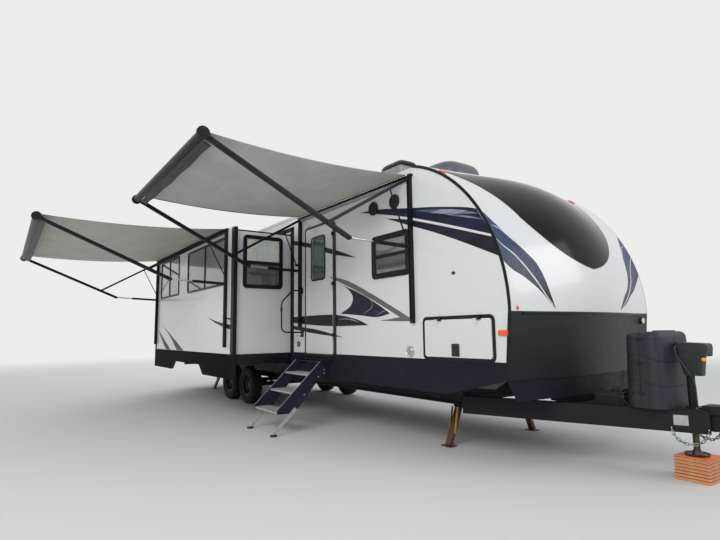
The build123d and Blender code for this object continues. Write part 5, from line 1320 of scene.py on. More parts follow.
class CARAVAN_OT_cap_fittings(bpy.types.Operator):
    """Add the raised bar between both parts of the cap, their lamps and the spot lamp on the lower part"""

    bl_idname = "caravan.cap_fittings"
    bl_label = "Cap bar and lamps"

    def execute(self, context):
        look = context.scene.caravan_colours
        skin = node_tree_of("cap_upper", "cap_lower")
        black = coated_metal("Black bar", look.black_trim, 0.3)
        amber = lamp_lens("Amber marker lens", hex_linear("#E65A10"))
        pale = lamp_lens("Pale lamp lens", hex_linear("#C9C3A2"))
        grey = bead_material("Lamp base plastic", hex_linear("#2A2C30"))
        bm = bmesh.new()
        rings = []
        for hit, out in wrap_round(skin, 1.434):
            flat = Vector((out.x, out.y, 0)).normalized()
            rings.append([
                bm.verts.new(hit + flat * a + Vector((0, 0, b)))
                for a, b in (
                    (-0.004, -0.013), (0.004, -0.013), (0.0075, -0.008), (0.0075, 0.008), (0.004, 0.013),
                    (-0.004, 0.013)
                )
            ])
        made = []
        for a, b in zip(rings, rings[1:]):
            made += [bm.faces.new((a[i], a[(i + 1) % 6], b[(i + 1) % 6], b[i])) for i in range(6)]
        made += [bm.faces.new(rings[0]), bm.faces.new(rings[-1][::-1])]
        bmesh.ops.recalc_face_normals(bm, faces=made)
        add_piece("cap_bar", bm, "caravan", black)
        for name, spot, size, lens in (
            ("cap_lamp_curb", (-1.743, -1.184, 2.961), (0.050, 0.020), amber),
            ("cap_lamp_road", (-1.743, 1.184, 2.961), (0.050, 0.020), amber),
            ("cap_lamp_low_curb", (-0.903, -1.138, 1.478), (0.016, 0.010), amber),
        ):
            hit, normal, *rest = skin.find_nearest(Vector(spot))
            if normal.dot(hit - Vector((-2.4, 0, 1.6))) < 0:
                normal = -normal
            turn = normal.to_track_quat("Z", "Y").to_matrix().to_4x4()
            bm = bmesh.new()
            lathe(
                bm, [(0, -0.004), (1.15, -0.004), (1.15, 0.003), (1.0, 0.004), (0, 0.004)], (0, 0, 0), 2, 24
            )
            lathe(
                bm, [(0, 0.0035), (1.0, 0.0035), (0.97, 0.010), (0.8, 0.015), (0.4, 0.018), (0, 0.019)],
                (0, 0, 0), 2, 24, slot=1
            )
            for v in bm.verts:
                v.co = hit + turn @ Vector((v.co.x * size[1], v.co.y * size[0], v.co.z * 0.9))
            bmesh.ops.recalc_face_normals(bm, faces=bm.faces[:])
            add_piece(name, bm, "caravan", grey, lens, smooth=False)
        spot = (-0.958, 1.082, 1.367)
        bm = bmesh.new()
        can = [
            (0, 0), (0.030, 0), (0.037, 0.016), (0.039, 0.070), (0.038, 0.074), (0.035, 0.074),
            (0.034, 0.071), (0, 0.071)
        ]
        lathe(bm, can, spot, 0, 28)
        lathe(
            bm, [(0, 0.0705), (0.0335, 0.0705), (0.031, 0.076), (0.018, 0.080), (0, 0.0815)], spot, 0, 28,
            slot=1
        )
        add_piece("cap_spot_lamp", bm, "caravan", grey, pale)
        return {"FINISHED"}


def dome_mesh(centre, half, z0, z1, flat, nose):
    """Streamlined cover: a squared-off plan that rounds over into its top."""
    bm = bmesh.new()
    steps, rows = 56, 12
    rings = []
    for j in range(rows + 1):
        rise = j / rows
        shrink = (1 - rise ** flat) ** (1 / flat) if rise < 1 else 0.0
        ring = []
        for i in range(steps if shrink > 0 else 1):
            turn = 2 * pi * i / steps
            c, s = cos(turn), sin(turn)
            x = abs(c) ** (2 / nose) * (1 if c > 0 else -1)
            y = abs(s) ** (2 / nose) * (1 if s > 0 else -1)
            ring.append(bm.verts.new((
                centre[0] + half[0] * x * shrink, centre[1] + half[1] * y * shrink, z0 + (z1 - z0) * rise
            )))
        rings.append(ring)
    made = join_rings(bm, rings, steps)
    made.append(bm.faces.new(rings[0]))
    bmesh.ops.recalc_face_normals(bm, faces=made)
    return bm


class CARAVAN_OT_roof_gear(bpy.types.Operator):
    """Build the air conditioner's cover with its louvres, and the hood over the vent"""

    bl_idname = "caravan.roof_gear"
    bl_label = "Roof equipment"

    def execute(self, context):
        shell = bead_material("Air conditioner shroud", hex_linear("#5B6067"))
        dark = bead_material("Louvre plastic", hex_linear("#15171C"))
        pale = bead_material("Vent hood plastic", hex_linear("#8F9296"))
        bm = dome_mesh((-3.035, 0.0), (0.595, 0.343), 3.105, 3.548, 5.0, 4.6)
        cover = add_piece("air_conditioner", bm, "caravan", shell, smooth=True)
        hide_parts("roof_gear")
        bm = bmesh.new()
        for side in (-1, 1):
            for i in range(9):
                x = -2.72 - 0.045 * i
                slab(
                    bm, (x - 0.007, side * 0.331 - 0.008, 3.22), (x + 0.007, side * 0.331 + 0.008, 3.37),
                    0.003
                )
        add_piece("air_conditioner_louvres", bm, "caravan", dark)
        bm = dome_mesh((-2.76, -0.93), (0.20, 0.135), 3.105, 3.335, 8.0, 7.0)
        add_piece("vent_hood", bm, "caravan", pale, smooth=True)
        bm = dome_mesh((-2.77, -0.93), (0.225, 0.14), 3.325, 3.40, 2.4, 5.0)
        add_piece("vent_hood_lid", bm, "caravan", dark, smooth=True)
        return {"FINISHED"}


class CARAVAN_OT_awning_fittings(bpy.types.Operator):
    """Add the rails and gas rods of both awnings, and the light strip of the front one"""

    bl_idname = "caravan.awning_fittings"
    bl_label = "Awning fittings"

    def execute(self, context):
        silver = bead_material("Silver anodised rail", hex_linear("#A4ABB4"), 0.3)
        rod = steel("Gas spring rod", hex_linear("#C9CBCD"), 0.18)
        diode = glowing_diode("Light strip")
        for name, body, wall_y, rail_z, ends, elbow, pivot in (
            ("awning", "caravan", -1.22, 3.030, (-4.835, -2.175), (-2.070, 2.240), (-1.307, 2.217)),
            ("slide_awning", "slide_out", -2.166, 2.862, (-9.59, -5.36), (-3.000, 2.065), (-2.186, 2.030)),
        ):
            bm = bmesh.new()
            half = [(0.0, -0.002)]
            for i in range(9):
                turn = pi * i / 8
                half.append((-0.034 * sin(turn), -0.026 + 0.024 * cos(turn)))
            half.append((0.0, -0.052))
            profile = [(wall_y + y, rail_z + z) for y, z in half]
            section_bar(bm, profile, ends[0] + 0.065, ends[1] - 0.065)
            add_piece(name + "_rail", bm, body, silver)
            start = tuple(a + 0.6 * (b - a) for a, b in zip(pivot, elbow))
            bm = bmesh.new()
            for x in (ends[0] + 0.04, ends[1] - 0.04):
                (y0, z0), (y1, z1) = start, elbow
                pipe(bm, [(x, y0, z0), (x, y0 + 0.97 * (y1 - y0), z0 + 0.97 * (z1 - z0))], 0.0115, 14)
            add_piece(name + "_gas_rods", bm, body, rod, smooth=False)
        line = [[(-4.77, -1.266, 3.041), (-2.24, -1.266, 3.041)]]

        def dash(bm):
            slab(bm, (-0.014, -0.0045, -0.002), (0.014, 0.0045, 0.0022), 0.0012, segments=1)

        repeat("light_strip", "caravan", line, dash, 0.05, diode, outward=(0, -1, 0))
        return {"FINISHED"}


def rounded_ring(bm, centre, outer, inner, axis, low, high, slot=0, count=36):
    """Flat ring with rounded edges, lying across an axis."""
    edge = min(0.002, (outer - inner) / 3)
    lathe(
        bm,
        [
            (inner, low), (outer, low), (outer, high - edge), (outer - edge, high), (inner + edge, high),
            (inner, high - edge)
        ],
        centre, axis, count, closed=True, slot=slot,
    )


def window_bead(bm, box, corner, outer, inner, y0, y1):
    """Rounded rectangular ring standing out along -Y from y0 to y1, outer and inner metres from the box."""
    x0, x1, z0, z1 = box
    lip = 0.003
    runs = []
    for grow, y in (
        (outer, y0), (outer, y1 + lip), (outer - lip, y1), (lip - inner, y1), (-inner, y1 + lip), (-inner, y0)
    ):
        ring = []
        for cx, cz, start in ((x1, z1, 0), (x0, z1, 90), (x0, z0, 180), (x1, z0, 270)):
            mx = cx - corner if cx == x1 else cx + corner
            mz = cz - corner if cz == z1 else cz + corner
            for k in range(7):
                turn = radians(start + 15 * k)
                ring.append(
                    bm.verts.new((mx + (corner + grow) * cos(turn), y, mz + (corner + grow) * sin(turn)))
                )
        runs.append(ring)
    made = []
    for a, b in zip(runs, runs[1:] + runs[:1]):
        made += [bm.faces.new((a[i - 1], a[i], b[i], b[i - 1])) for i in range(len(a))]
    bmesh.ops.recalc_face_normals(bm, faces=made)


class CARAVAN_OT_wall_details(bpy.types.Operator):
    """Add the curb wall's fittings: speakers, hose ports, latch, door beads and the grab handle"""

    bl_idname = "caravan.wall_details"
    bl_label = "Wall fittings"

    def execute(self, context):
        black = bead_material("Black fitting plastic", hex_linear("#17181B"))
        chrome = steel("Chromed rim", hex_linear("#D6D8DA"), 0.08)
        grey = bead_material("Grey fitting plastic", hex_linear("#A3ABA6"))
        mesh_black, tree, shader, place = start_material("Perforated grille", Metallic=0.6)
        holes = add_node(tree, "ShaderNodeTexVoronoi", {"Vector": place}, {"Scale": 220.0, "Randomness": 0.0})
        edge = ranged(tree, holes.outputs["Distance"], {1: 0.28, 2: 0.4})
        mix = add_node(
            tree, "ShaderNodeMix", {"Factor": edge},
            {6: hex_linear("#040405"), 7: hex_linear("#2A2B2E")}, data_type="RGBA",
        )
        tree.links.new(mix.outputs[2], shader.inputs["Base Color"])
        bump = add_node(tree, "ShaderNodeBump", {"Height": edge}, {"Strength": 0.6, "Distance": 0.001})
        tree.links.new(bump.outputs["Normal"], shader.inputs["Normal"])
        wall = CURB_Y
        bm = bmesh.new()
        for x in (-2.920, -2.505):
            rounded_ring(bm, (x, wall, 2.8), 0.086, 0.066, 1, 0.0, -0.0185)
            lathe(
                bm, [(0, -0.014), (0.068, -0.014), (0.068, -0.0168), (0.045, -0.0195), (0, -0.0215)],
                (x, wall, 2.8), 1,
                36, slot=1,
            )
        add_piece("speaker_grilles", bm, "caravan", black, mesh_black)
        bm = bmesh.new()
        rounded_ring(bm, (-2.28, wall, 1.064), 0.056, 0.040, 1, 0.0, -0.0225, slot=0)
        lathe(
            bm, [(0, -0.018), (0.042, -0.018), (0.042, -0.0208), (0, -0.0215)], (-2.28, wall, 1.064), 1, 36,
            slot=1
        )
        slab(bm, (-2.288, wall - 0.0265, 1.040), (-2.272, wall - 0.0200, 1.088), 0.002, slot=1)
        rounded_ring(bm, (-4.863, wall, 1.113), 0.040, 0.027, 1, 0.0, -0.012, slot=2)
        lathe(
            bm, [(0, -0.001), (0.028, -0.001), (0.028, -0.005), (0, -0.006)], (-4.863, wall, 1.113), 1, 30,
            slot=1
        )
        add_piece("hose_ports", bm, "caravan", chrome, grey, black)
        bm = bmesh.new()
        for x in (-4.912, -4.816):
            lathe(
                bm, [(0, 0), (0.011, 0), (0.011, -0.004), (0.006, -0.007), (0, -0.007)], (x, wall, 1.2335), 1,
                16
            )
        lathe(bm, [(0, 0), (1, 0), (1, -0.005), (0.8, -0.009), (0, -0.009)], (0, 0, 0), 1, 28)
        for v in bm.verts:
            if v.co.y > -0.5:
                v.co = Vector((-1.597 + v.co.x * 0.026, wall + v.co.y, 1.861 + v.co.z * 0.016))
        slab(bm, (-1.52, wall - 0.006, 0.958), (-1.50, wall, 0.975), 0.002)
        add_piece("small_black_fittings", bm, "caravan", black)
        bm = bmesh.new()
        slab(bm, (-1.640, -1.2455, 1.028), (-1.540, -1.2325, 1.152), 0.005)
        slab(bm, (-1.615, -1.2510, 1.042), (-1.565, -1.2440, 1.086), 0.003)
        lathe(
            bm, [(0, -0.0135), (0.011, -0.0135), (0.011, -0.0160), (0, -0.0175)], (-1.59, -1.2315, 1.122), 1,
            20
        )
        add_piece("baggage_latch", bm, "baggage_door", black)
        bm = bmesh.new()
        window_bead(bm, DOOR_WINDOW, 0.045, 0.016, 0.010, -1.2315, -1.2415)
        add_piece("door_window_frame", bm, "entry_door", black)
        bm = bmesh.new()
        window_bead(bm, (-4.660, -3.840, 0.950, 2.850), 0.060, 0.0, 0.028, -1.2260, -1.2345)
        # The 40 mm black strip right of the door is partly the door frame and partly a painted shadow beside
        # it.
        slab(bm, (-3.846, -1.2335, 0.990), (-3.806, -1.2195, 2.790), 0.003)
        add_piece("door_frame_bead", bm, "caravan", black)
        bm = face_copy("wall_fittings", lambda f: f.calc_center_median().x > -4.0)
        run = (
            (-1.222, 1.913), (-1.370, 1.911), (-1.405, 1.898), (-1.540, 1.765), (-1.563, 1.735),
            (-1.573, 1.690),
            (-1.570, 1.378), (-1.562, 1.335), (-1.538, 1.306), (-1.495, 1.292), (-1.222, 1.288),
        )
        pipe(bm, [(-4.75, y, z) for y, z in run], 0.012, 12)
        lathe(bm, ((0.0, 0.0), (0.017, 0.0), (0.017, 0.05), (0.0, 0.05)), (-4.75, -1.5722, 1.60), 2, 16)
        slab(bm, (-4.770, -1.2265, 1.868), (-4.730, -1.2195, 1.958), 0.003)
        slab(bm, (-4.795, -1.2300, 1.218), (-4.715, -1.2195, 1.308), 0.004)
        fittings = add_piece("speakers_port_handle", bm, "caravan", black)
        for face in fittings.data.polygons:
            face.use_smooth = face.center.x < -4.0 and face.center.y < -1.23
        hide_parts("wall_fittings")
        return {"FINISHED"}


class CARAVAN_OT_tow_details(bpy.types.Operator):
    """Add the tow end's fittings: lens, blank plate, cover latches, bracket, flange bolts and battery lid"""

    bl_idname = "caravan.tow_details"
    bl_label = "Tow end fittings"

    def execute(self, context):
        look = context.scene.caravan_colours
        black = bead_material("Latch rubber", hex_linear("#0F1012"))
        zinc = steel("Plated bolt", hex_linear("#A9ABAC"), 0.3)
        lens = lamp_lens("Small amber lens", hex_linear("#D9A21C"))
        plate = bead_material("Blank plate", hex_linear("#AEB4BA"), 0.4)
        bracket = coated_metal("Bracket paint", look.black_trim)
        bm = bmesh.new()
        lathe(bm, [(0, 0.0), (0.020, 0.0), (0.020, -0.004), (0.014, -0.009), (0, -0.010)], (0, 0, 0), 1, 24)
        for v in bm.verts:
            v.co = Vector((0.144 + v.co.x * 1.0, -0.0725 + v.co.y * 0.7, 1.012 + v.co.z * 0.75))
        add_piece("jack_lid_lens", bm, "caravan", lens)
        bm = bmesh.new()
        a, b = Vector((-0.083, -0.197, 0.0)), Vector((0.019, -0.161, 0.0))
        along = (b - a).normalized()
        out = Vector((along.y, -along.x, 0))
        corners = []
        for gap in (0.0015, -0.004):
            for p, z in ((a, 0.462), (b, 0.462), (b, 0.547), (a, 0.545)):
                corners.append(bm.verts.new(p + out * gap + Vector((0, 0, z))))
        made = [bm.faces.new(corners[:4]), bm.faces.new(corners[4:][::-1])]
        made += [
            bm.faces.new((corners[i], corners[(i + 1) % 4], corners[4 + (i + 1) % 4], corners[4 + i]))
            for i in range(4)
        ]
        bmesh.ops.recalc_face_normals(bm, faces=made)
        add_piece("blank_plate", bm, "caravan", plate)
        bm = bmesh.new()
        for side in (-1, 1):
            for z in (1.187, 0.977, 0.716):
                slab(
                    bm, (-0.276, side * 0.326 - 0.006, z - 0.011), (-0.264, side * 0.326 + 0.006, z + 0.011),
                    0.003
                )
                slab(
                    bm, (-0.292, side * 0.329 - 0.005, z - 0.005), (-0.248, side * 0.329 + 0.005, z + 0.005),
                    0.003
                )
        add_piece("tank_cover_latches", bm, "caravan", black)
        bm = bmesh.new()
        for x in (-0.50, -0.37):
            pipe(bm, [(x, -0.33, 0.585), (-0.435, -0.33, 0.648)], 0.008, 8)
        add_piece("cover_bracket", bm, "caravan", bracket)
        bm = bmesh.new()
        for x, y in ((-0.05, -0.05), (0.05, -0.05), (-0.05, 0.05), (0.05, 0.05)):
            lathe(bm, [(0, 0), (0.010, 0), (0.010, 0.007), (0, 0.008)], (x, y, 0.596), 2, 6)
        add_piece("jack_flange_bolts", bm, "caravan", zinc)
        low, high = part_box("battery_box")
        middle = (low.x + high.x) / 2
        bm = bmesh.new()
        slab(
            bm, (low.x + 0.014, low.y + 0.012, high.z - 0.013),
            (high.x - 0.014, high.y - 0.012, high.z + 0.020), 0.008
        )
        for x0, x1, top in ((low.x + 0.030, middle - 0.022, 0.040), (middle + 0.022, high.x - 0.030, 0.052)):
            slab(bm, (x0, low.y + 0.030, high.z + 0.010), (x1, high.y - 0.030, high.z + top), 0.014)
        slab(
            bm, (middle - 0.019, low.y + 0.004, high.z - 0.030),
            (middle + 0.019, high.y - 0.004, high.z + 0.0235), 0.003
        )
        slab(
            bm, (middle - 0.026, low.y + 0.020, high.z + 0.018),
            (middle + 0.026, low.y + 0.055, high.z + 0.030), 0.003
        )
        add_piece(
            "battery_lid", bm, "caravan",
            moulded_plastic("Battery lid polypropylene", hex_linear("#1E2128"), 0.003, 0.42)
        )
        return {"FINISHED"}


# Bolt heads on each stringer as y, z and radius, then its wide web and a thin strip along its upper edge as y
# and z; the strip is coloured pale grey as a painted highlight
STRINGER_BOLTS = (
    (-1.419, 0.697, 0.010), (-1.633, 0.478, 0.010), (-1.330, 0.785, 0.009), (-1.330, 0.738, 0.009),
    (-1.571, 0.596, 0.004), (-1.540, 0.604, 0.004), (-1.602, 0.582, 0.004),
)
STRINGER_BACK = (
    (-1.312, 0.895), (-1.390, 0.888), (-2.016, 0.306), (-2.016, 0.262), (-1.800, 0.252), (-1.770, 0.262),
    (-1.470, 0.600), (-1.335, 0.690), (-1.312, 0.712),
)

STRINGER_HIGHLIGHT_STRIP = ((-1.390, 0.8952), (-2.020, 0.3122), (-2.0225, 0.3138), (-1.3925, 0.8975))


class CARAVAN_OT_step_details(bpy.types.Operator):
    """Add the wide stringer webs, the bolts on the step frame and the bright noses of the treads"""

    bl_idname = "caravan.step_details"
    bl_label = "Step fittings"

    def execute(self, context):
        zinc = steel("Step bolt", hex_linear("#B5B7B8"), 0.28)
        nose = steel("Tread nose aluminium", hex_linear("#C3C5C6"), 0.32)
        bm = bmesh.new()
        for x, out in ((-4.6515, -1), (-3.9485, 1)):
            for y, z, r in STRINGER_BOLTS:
                lathe(
                    bm, [(0, 0), (r, 0), (r, out * 0.005), (r * 0.6, out * 0.008), (0, out * 0.008)],
                    (x, y, z), 0, 8
                )
            leg = x + out * 0.0470
            lathe(
                bm, [(0, 0), (0.012, 0), (0.012, out * 0.005), (0.007, out * 0.008), (0, out * 0.008)],
                (leg, -1.775, 0.300), 0, 8,
            )
        add_piece("step_bolts", bm, "steps", zinc)
        frame_coat = coated_metal("Stringer coat", hex_linear("#1F2430"), 0.42)
        # Painted highlight: a pale grey strip along each stringer's upper edge, on the dark navy frame.
        worn = coated_metal("Stringer edge painted highlight", hex_linear("#9AA2AE"), 0.35, 0.5)
        bm = bmesh.new()
        for x0, x1 in ((-4.6496, -4.6424), (-3.9576, -3.9504)):
            section_bar(bm, STRINGER_BACK, x0, x1)
            section_bar(bm, STRINGER_HIGHLIGHT_STRIP, x0 - 0.0006, x1 + 0.0006, slot=1)
        add_piece("stringer_backs", bm, "steps", frame_coat, worn)
        bm = bmesh.new()
        for y, z in ((-1.56, 0.735), (-1.788, 0.5125), (-2.016, 0.290)):
            slab(bm, (-4.640, y + 0.0003, z - 0.002), (-3.960, y + 0.0100, z + 0.0006), 0.0004)
        add_piece("tread_noses", bm, "steps", nose)
        return {"FINISHED"}


def pleated(x0, x1, y, z0, z1, pitch=0.022, depth=0.004, along="x"):
    """Accordion-folded shade hanging in a window."""
    count = max(4, int((z1 - z0) / pitch)) * 2
    bm = bmesh.new()
    rows = []
    for i in range(count + 1):
        z = z1 + (z0 - z1) * i / count
        shift = depth if i % 2 else -depth
        row = []
        for k in range(3):
            a = x0 + (x1 - x0) * k / 2
            spot = (a, y + shift, z) if along == "x" else (y + shift, a, z)
            row.append(bm.verts.new(spot))
        rows.append(row)
    for a, b in zip(rows, rows[1:]):
        for k in range(2):
            bm.faces.new((a[k], b[k], b[k + 1], a[k + 1]))
    thicken(bm, lambda v: Vector((0, 0.0006, 0)) if along == "x" else Vector((0.0006, 0, 0)))
    bmesh.ops.recalc_face_normals(bm, faces=bm.faces[:])
    length = count * hypot((z1 - z0) / count, 2 * depth)
    return bm, (abs(x1 - x0), length)


# Shades: name, body, axis they run along, both ends, depth, low and high z, colour, frame they hang in
SHADES = (
    # The curb shade's olive green stands for foliage reflected in the glass: a painted reflection.
    ("curb_shade", "caravan", "x", -2.935, -2.295, -1.190, 2.21, 2.405, "#A3AA8A", "window_frames"),
    ("slide_end_shade", "slide_out", "y", -1.985, -1.400, -5.168, 2.37, 2.735, "#F4F5F2", "slide_frames"),
    ("slide_rear_shade", "slide_out", "x", -9.250, -7.980, -2.135, 2.66, 2.765, "#B9B7AE", "slide_frames"),
    ("slide_main_shade", "slide_out", "x", -7.370, -5.500, -2.135, 2.62, 2.735, "#B9B7AE", "slide_frames"),
    ("road_front_shade", "caravan", "x", -3.565, -2.435, 1.190, 2.30, 2.465, "#B9B7AE", "window_frames"),
    ("road_middle_shade", "caravan", "x", -6.265, -5.035, 1.190, 2.30, 2.465, "#B9B7AE", "window_frames"),
    ("road_rear_shade", "caravan", "x", -9.265, -8.135, 1.190, 2.30, 2.465, "#B9B7AE", "window_frames"),
)


class CARAVAN_OT_windows(bpy.types.Operator):
    """Add the sash bars, the window beads and the pleated shades behind the glass"""

    bl_idname = "caravan.windows"
    bl_label = "Sash bars and shades"

    def execute(self, context):
        look = context.scene.caravan_colours
        black = coated_metal("Sash coat", look.black_trim, 0.4)
        bm = bmesh.new()
        slab(bm, (-2.945, -1.2285, 2.172), (-2.285, -1.2165, 2.204), 0.003)
        slab(bm, (-2.66, -1.2325, 2.180), (-2.57, -1.2255, 2.196), 0.003)
        add_piece("curb_sash_bar", bm, "caravan", black)
        bm = bmesh.new()
        slab(bm, (-5.1485, -1.992, 2.325), (-5.1345, -1.393, 2.372), 0.004)
        for y in (-1.93, -1.56):
            slab(bm, (-5.1380, y - 0.035, 2.312), (-5.1310, y + 0.035, 2.330), 0.003)
        add_piece("slide_end_sash_bar", bm, "slide_out", black)
        bm = bmesh.new()
        window_bead(bm, (-2.015, -1.370, 1.960, 2.765), 0.060, 0.004, 0.055, -0.0005, -0.0160)
        for v in bm.verts:
            v.co = Vector((SLIDE_END_X - v.co.y, v.co.x, v.co.z))
        add_piece("slide_end_window_bead", bm, "slide_out", black)
        bm = bmesh.new()
        window_bead(bm, (-2.955, -2.275, 1.930, 2.425), 0.060, 0.004, 0.052, -1.2205, -1.2365)
        add_piece("curb_window_bead", bm, "caravan", black)
        for name, body, along, a0, a1, depth, z0, z1, colour, frame_node in SHADES:
            cloth, tree, shader, place = start_material(name.replace("_", " ") + " cloth", Sheen_Weight=0.2)
            two_tone(tree, shader, place, hex_linear(colour), scaled(hex_linear(colour), 0.85), 0.2)
            uneven(tree, shader, place, 0.003, 0.7, 0.9, 0.0004, 0.3)
            # Painted light: every shade glows faintly, the one in the slide-out's end window strongly, as
            # daylight through the cloth.
            shader.inputs["Emission Color"].default_value = hex_linear(colour)
            glow = 0.45 if name == "slide_end_shade" else 0.05
            shader.inputs["Emission Strength"].default_value = glow
            bm, flat = pleated(a0, a1, depth, z0, z1, along=along)
            shade = add_piece(name, bm, body, cloth)
        return {"FINISHED"}


class CARAVAN_OT_rear_details(bpy.types.Operator):
    """Add the wall mouldings, rear clearance lamps, reversing lenses and the blank plate on its holder"""

    bl_idname = "caravan.rear_details"
    bl_label = "Mouldings and rear fittings"

    def execute(self, context):
        moulding = bead_material("White moulding", hex_linear("#C6C9C9"), 0.1)
        black = bead_material("Black insert", hex_linear("#141518"))
        red = lamp_lens("Clearance lens", hex_linear("#A8100C"))
        clear = lamp_lens("Reversing lens", hex_linear("#C9CCCC"))
        plate = bead_material("Plate paint", hex_linear("#C4C7C9"), 0.2)
        bm = bmesh.new()
        for side in (-1, 1):
            wall = side * HALF_WIDTH
            slab(
                bm, (REAR_X - 0.0035, min(wall, wall - side * 0.034), 0.99),
                (REAR_X, max(wall, wall - side * 0.034), 3.070), 0.0015
            )
            slab(
                bm, (REAR_X, min(wall, wall + side * 0.0035), 0.99),
                (REAR_X + 0.034, max(wall, wall + side * 0.0035), 3.070), 0.0015
            )
            front = -4.86 if side < 0 else -1.98
            slab(
                bm, (REAR_X, min(wall, wall + side * 0.0035), 3.074),
                (front, max(wall, wall + side * 0.0035), 3.106), 0.0015
            )
        add_piece("wall_mouldings", bm, "caravan", moulding)
        bm = bmesh.new()
        for side in (-1, 1):
            y = side * 1.205
            slab(bm, (REAR_X - 0.0055, y - 0.006, 1.0), (REAR_X - 0.003, y + 0.006, 3.06), 0.001)
        slab(bm, (REAR_X - 0.016, -0.98, 1.055), (REAR_X - 0.001, -0.64, 1.225), 0.004)
        for y in (-0.87, -0.75):
            slab(bm, (REAR_X - 0.024, y - 0.012, 1.226), (REAR_X - 0.002, y + 0.012, 1.246), 0.003)
        for y in (-1.05, -0.16, 0.0, 0.16, 1.05):
            slab(bm, (REAR_X - 0.008, y - 0.052, 2.984), (REAR_X, y + 0.052, 3.016), 0.004)
        add_piece("rear_black_fittings", bm, "caravan", black)
        bm = bmesh.new()
        slab(bm, (REAR_X - 0.0185, -0.962, 1.066), (REAR_X - 0.0155, -0.658, 1.212), 0.0012)
        add_piece("rear_blank_plate", bm, "caravan", plate)
        bm = bmesh.new()
        for y in (-1.05, -0.16, 0.0, 0.16, 1.05):
            slab(bm, (REAR_X - 0.022, y - 0.045, 2.988), (REAR_X - 0.007, y + 0.045, 3.012), 0.006)
        add_piece("rear_clearance_lamps", bm, "caravan", red)
        bm = bmesh.new()
        for side in (-1, 1):
            slab(bm, (-10.7735, side * 1.05 - 0.055, 1.118), (-10.7690, side * 1.05 + 0.055, 1.182), 0.002)
        add_piece("reversing_lenses", bm, "caravan", clear)
        return {"FINISHED"}


class CARAVAN_OT_trim_screws(bpy.types.Operator):
    """Drive the rows of screws along the door frames and the roof edge"""

    bl_idname = "caravan.trim_screws"
    bl_label = "Trim screws"

    def execute(self, context):
        pitch = context.scene.caravan_sizes.screw_pitch
        black = steel("Black screw", hex_linear("#3A3C40"), 0.35)
        zinc = steel("Zinc screw", hex_linear("#A5A7A8"), 0.35)
        frames = []
        for x0, x1, z0, z1 in ((-4.645, -3.855, 0.965, 2.835), (-2.056, -1.110, 0.995, 1.415)):
            y = CURB_Y - 0.008
            frames += [
                [(x0, y, z0 + 0.06), (x0, y, z1 - 0.06)], [(x1, y, z0 + 0.06), (x1, y, z1 - 0.06)],
                [(x0 + 0.06, y, z1), (x1 - 0.06, y, z1)], [(x0 + 0.06, y, z0), (x1 - 0.06, y, z0)],
            ]
        repeat("frame_screws", "caravan", frames, screw_head, pitch, black, outward=(0, -1, 0))
        for name, side in (("curb", -1), ("road", 1)):
            y = side * HALF_WIDTH
            front = -4.90 if side < 0 else -2.02
            lines = [[(-10.70, y + side * 0.0036, 3.09), (front, y + side * 0.0036, 3.09)]]
            repeat("roof_screws_" + name, "caravan", lines, screw_head, pitch, zinc, outward=(0, side, 0))
        return {"FINISHED"}


def look_matrix(place, yaw, pitch, roll):
    """Camera pose from a heading, a tilt up and a roll, as Blender's camera looks down its own -Z."""
    forward = Vector((cos(yaw) * cos(pitch), sin(yaw) * cos(pitch), sin(pitch)))
    level = Vector((sin(yaw), -cos(yaw), 0.0))
    over = level.cross(forward)
    right = level * cos(roll) + over * sin(roll)
    up = over * cos(roll) - level * sin(roll)
    turn = Matrix((right, up, -forward)).transposed()
    return Matrix.Translation(place) @ turn.to_4x4()


def add_lamp(name, place, target, size, power, colour):
    data = bpy.data.lights.new(name, "AREA")
    data.shape = "RECTANGLE"
    data.size, data.size_y = size
    data.energy = power
    data.color = colour
    lamp = linked_object(name, data)
    aim = (Vector(target) - Vector(place)).to_track_quat("-Z", "Y")
    lamp.matrix_world = Matrix.Translation(place) @ aim.to_matrix().to_4x4()
    return lamp


def stage_floor():
    """Pale floor that keeps the shadow near the object and fades to the background further out."""
    mesh = bpy.data.meshes.new("stage_floor")
    reach = 150.0
    mesh.from_pydata(
        [(-reach, -reach, 0), (reach, -reach, 0), (reach, reach, 0), (-reach, reach, 0)], [], [(0, 1, 2, 3)]
    )
    floor = linked_object("stage_floor", mesh)
    material, tree, shader, place = start_material(
        "Pale studio floor", Base_Color=hex_linear("#E2E2E0"), Roughness=0.9, Specular_IOR_Level=0.2
    )
    centred = add_node(tree, "ShaderNodeMapping", {"Vector": place}, {"Location": (5.0, 1.5, 0.0)})
    far = add_node(tree, "ShaderNodeVectorMath", {0: centred.outputs["Vector"]}, operation="LENGTH")
    fade = ranged(tree, far.outputs["Value"], {1: 9.0, 2: 26.0}, interpolation_type="SMOOTHSTEP")
    glow = add_node(tree, "ShaderNodeEmission", values={"Color": hex_linear("#EDEDEC"), "Strength": 1.0})
    mix = add_node(
        tree, "ShaderNodeMixShader",
        {0: fade, 1: shader.outputs["BSDF"], 2: glow.outputs["Emission"]},
    )
    tree.links.new(mix.outputs["Shader"], tree.nodes["Material Output"].inputs["Surface"])
    mesh.materials.append(material)


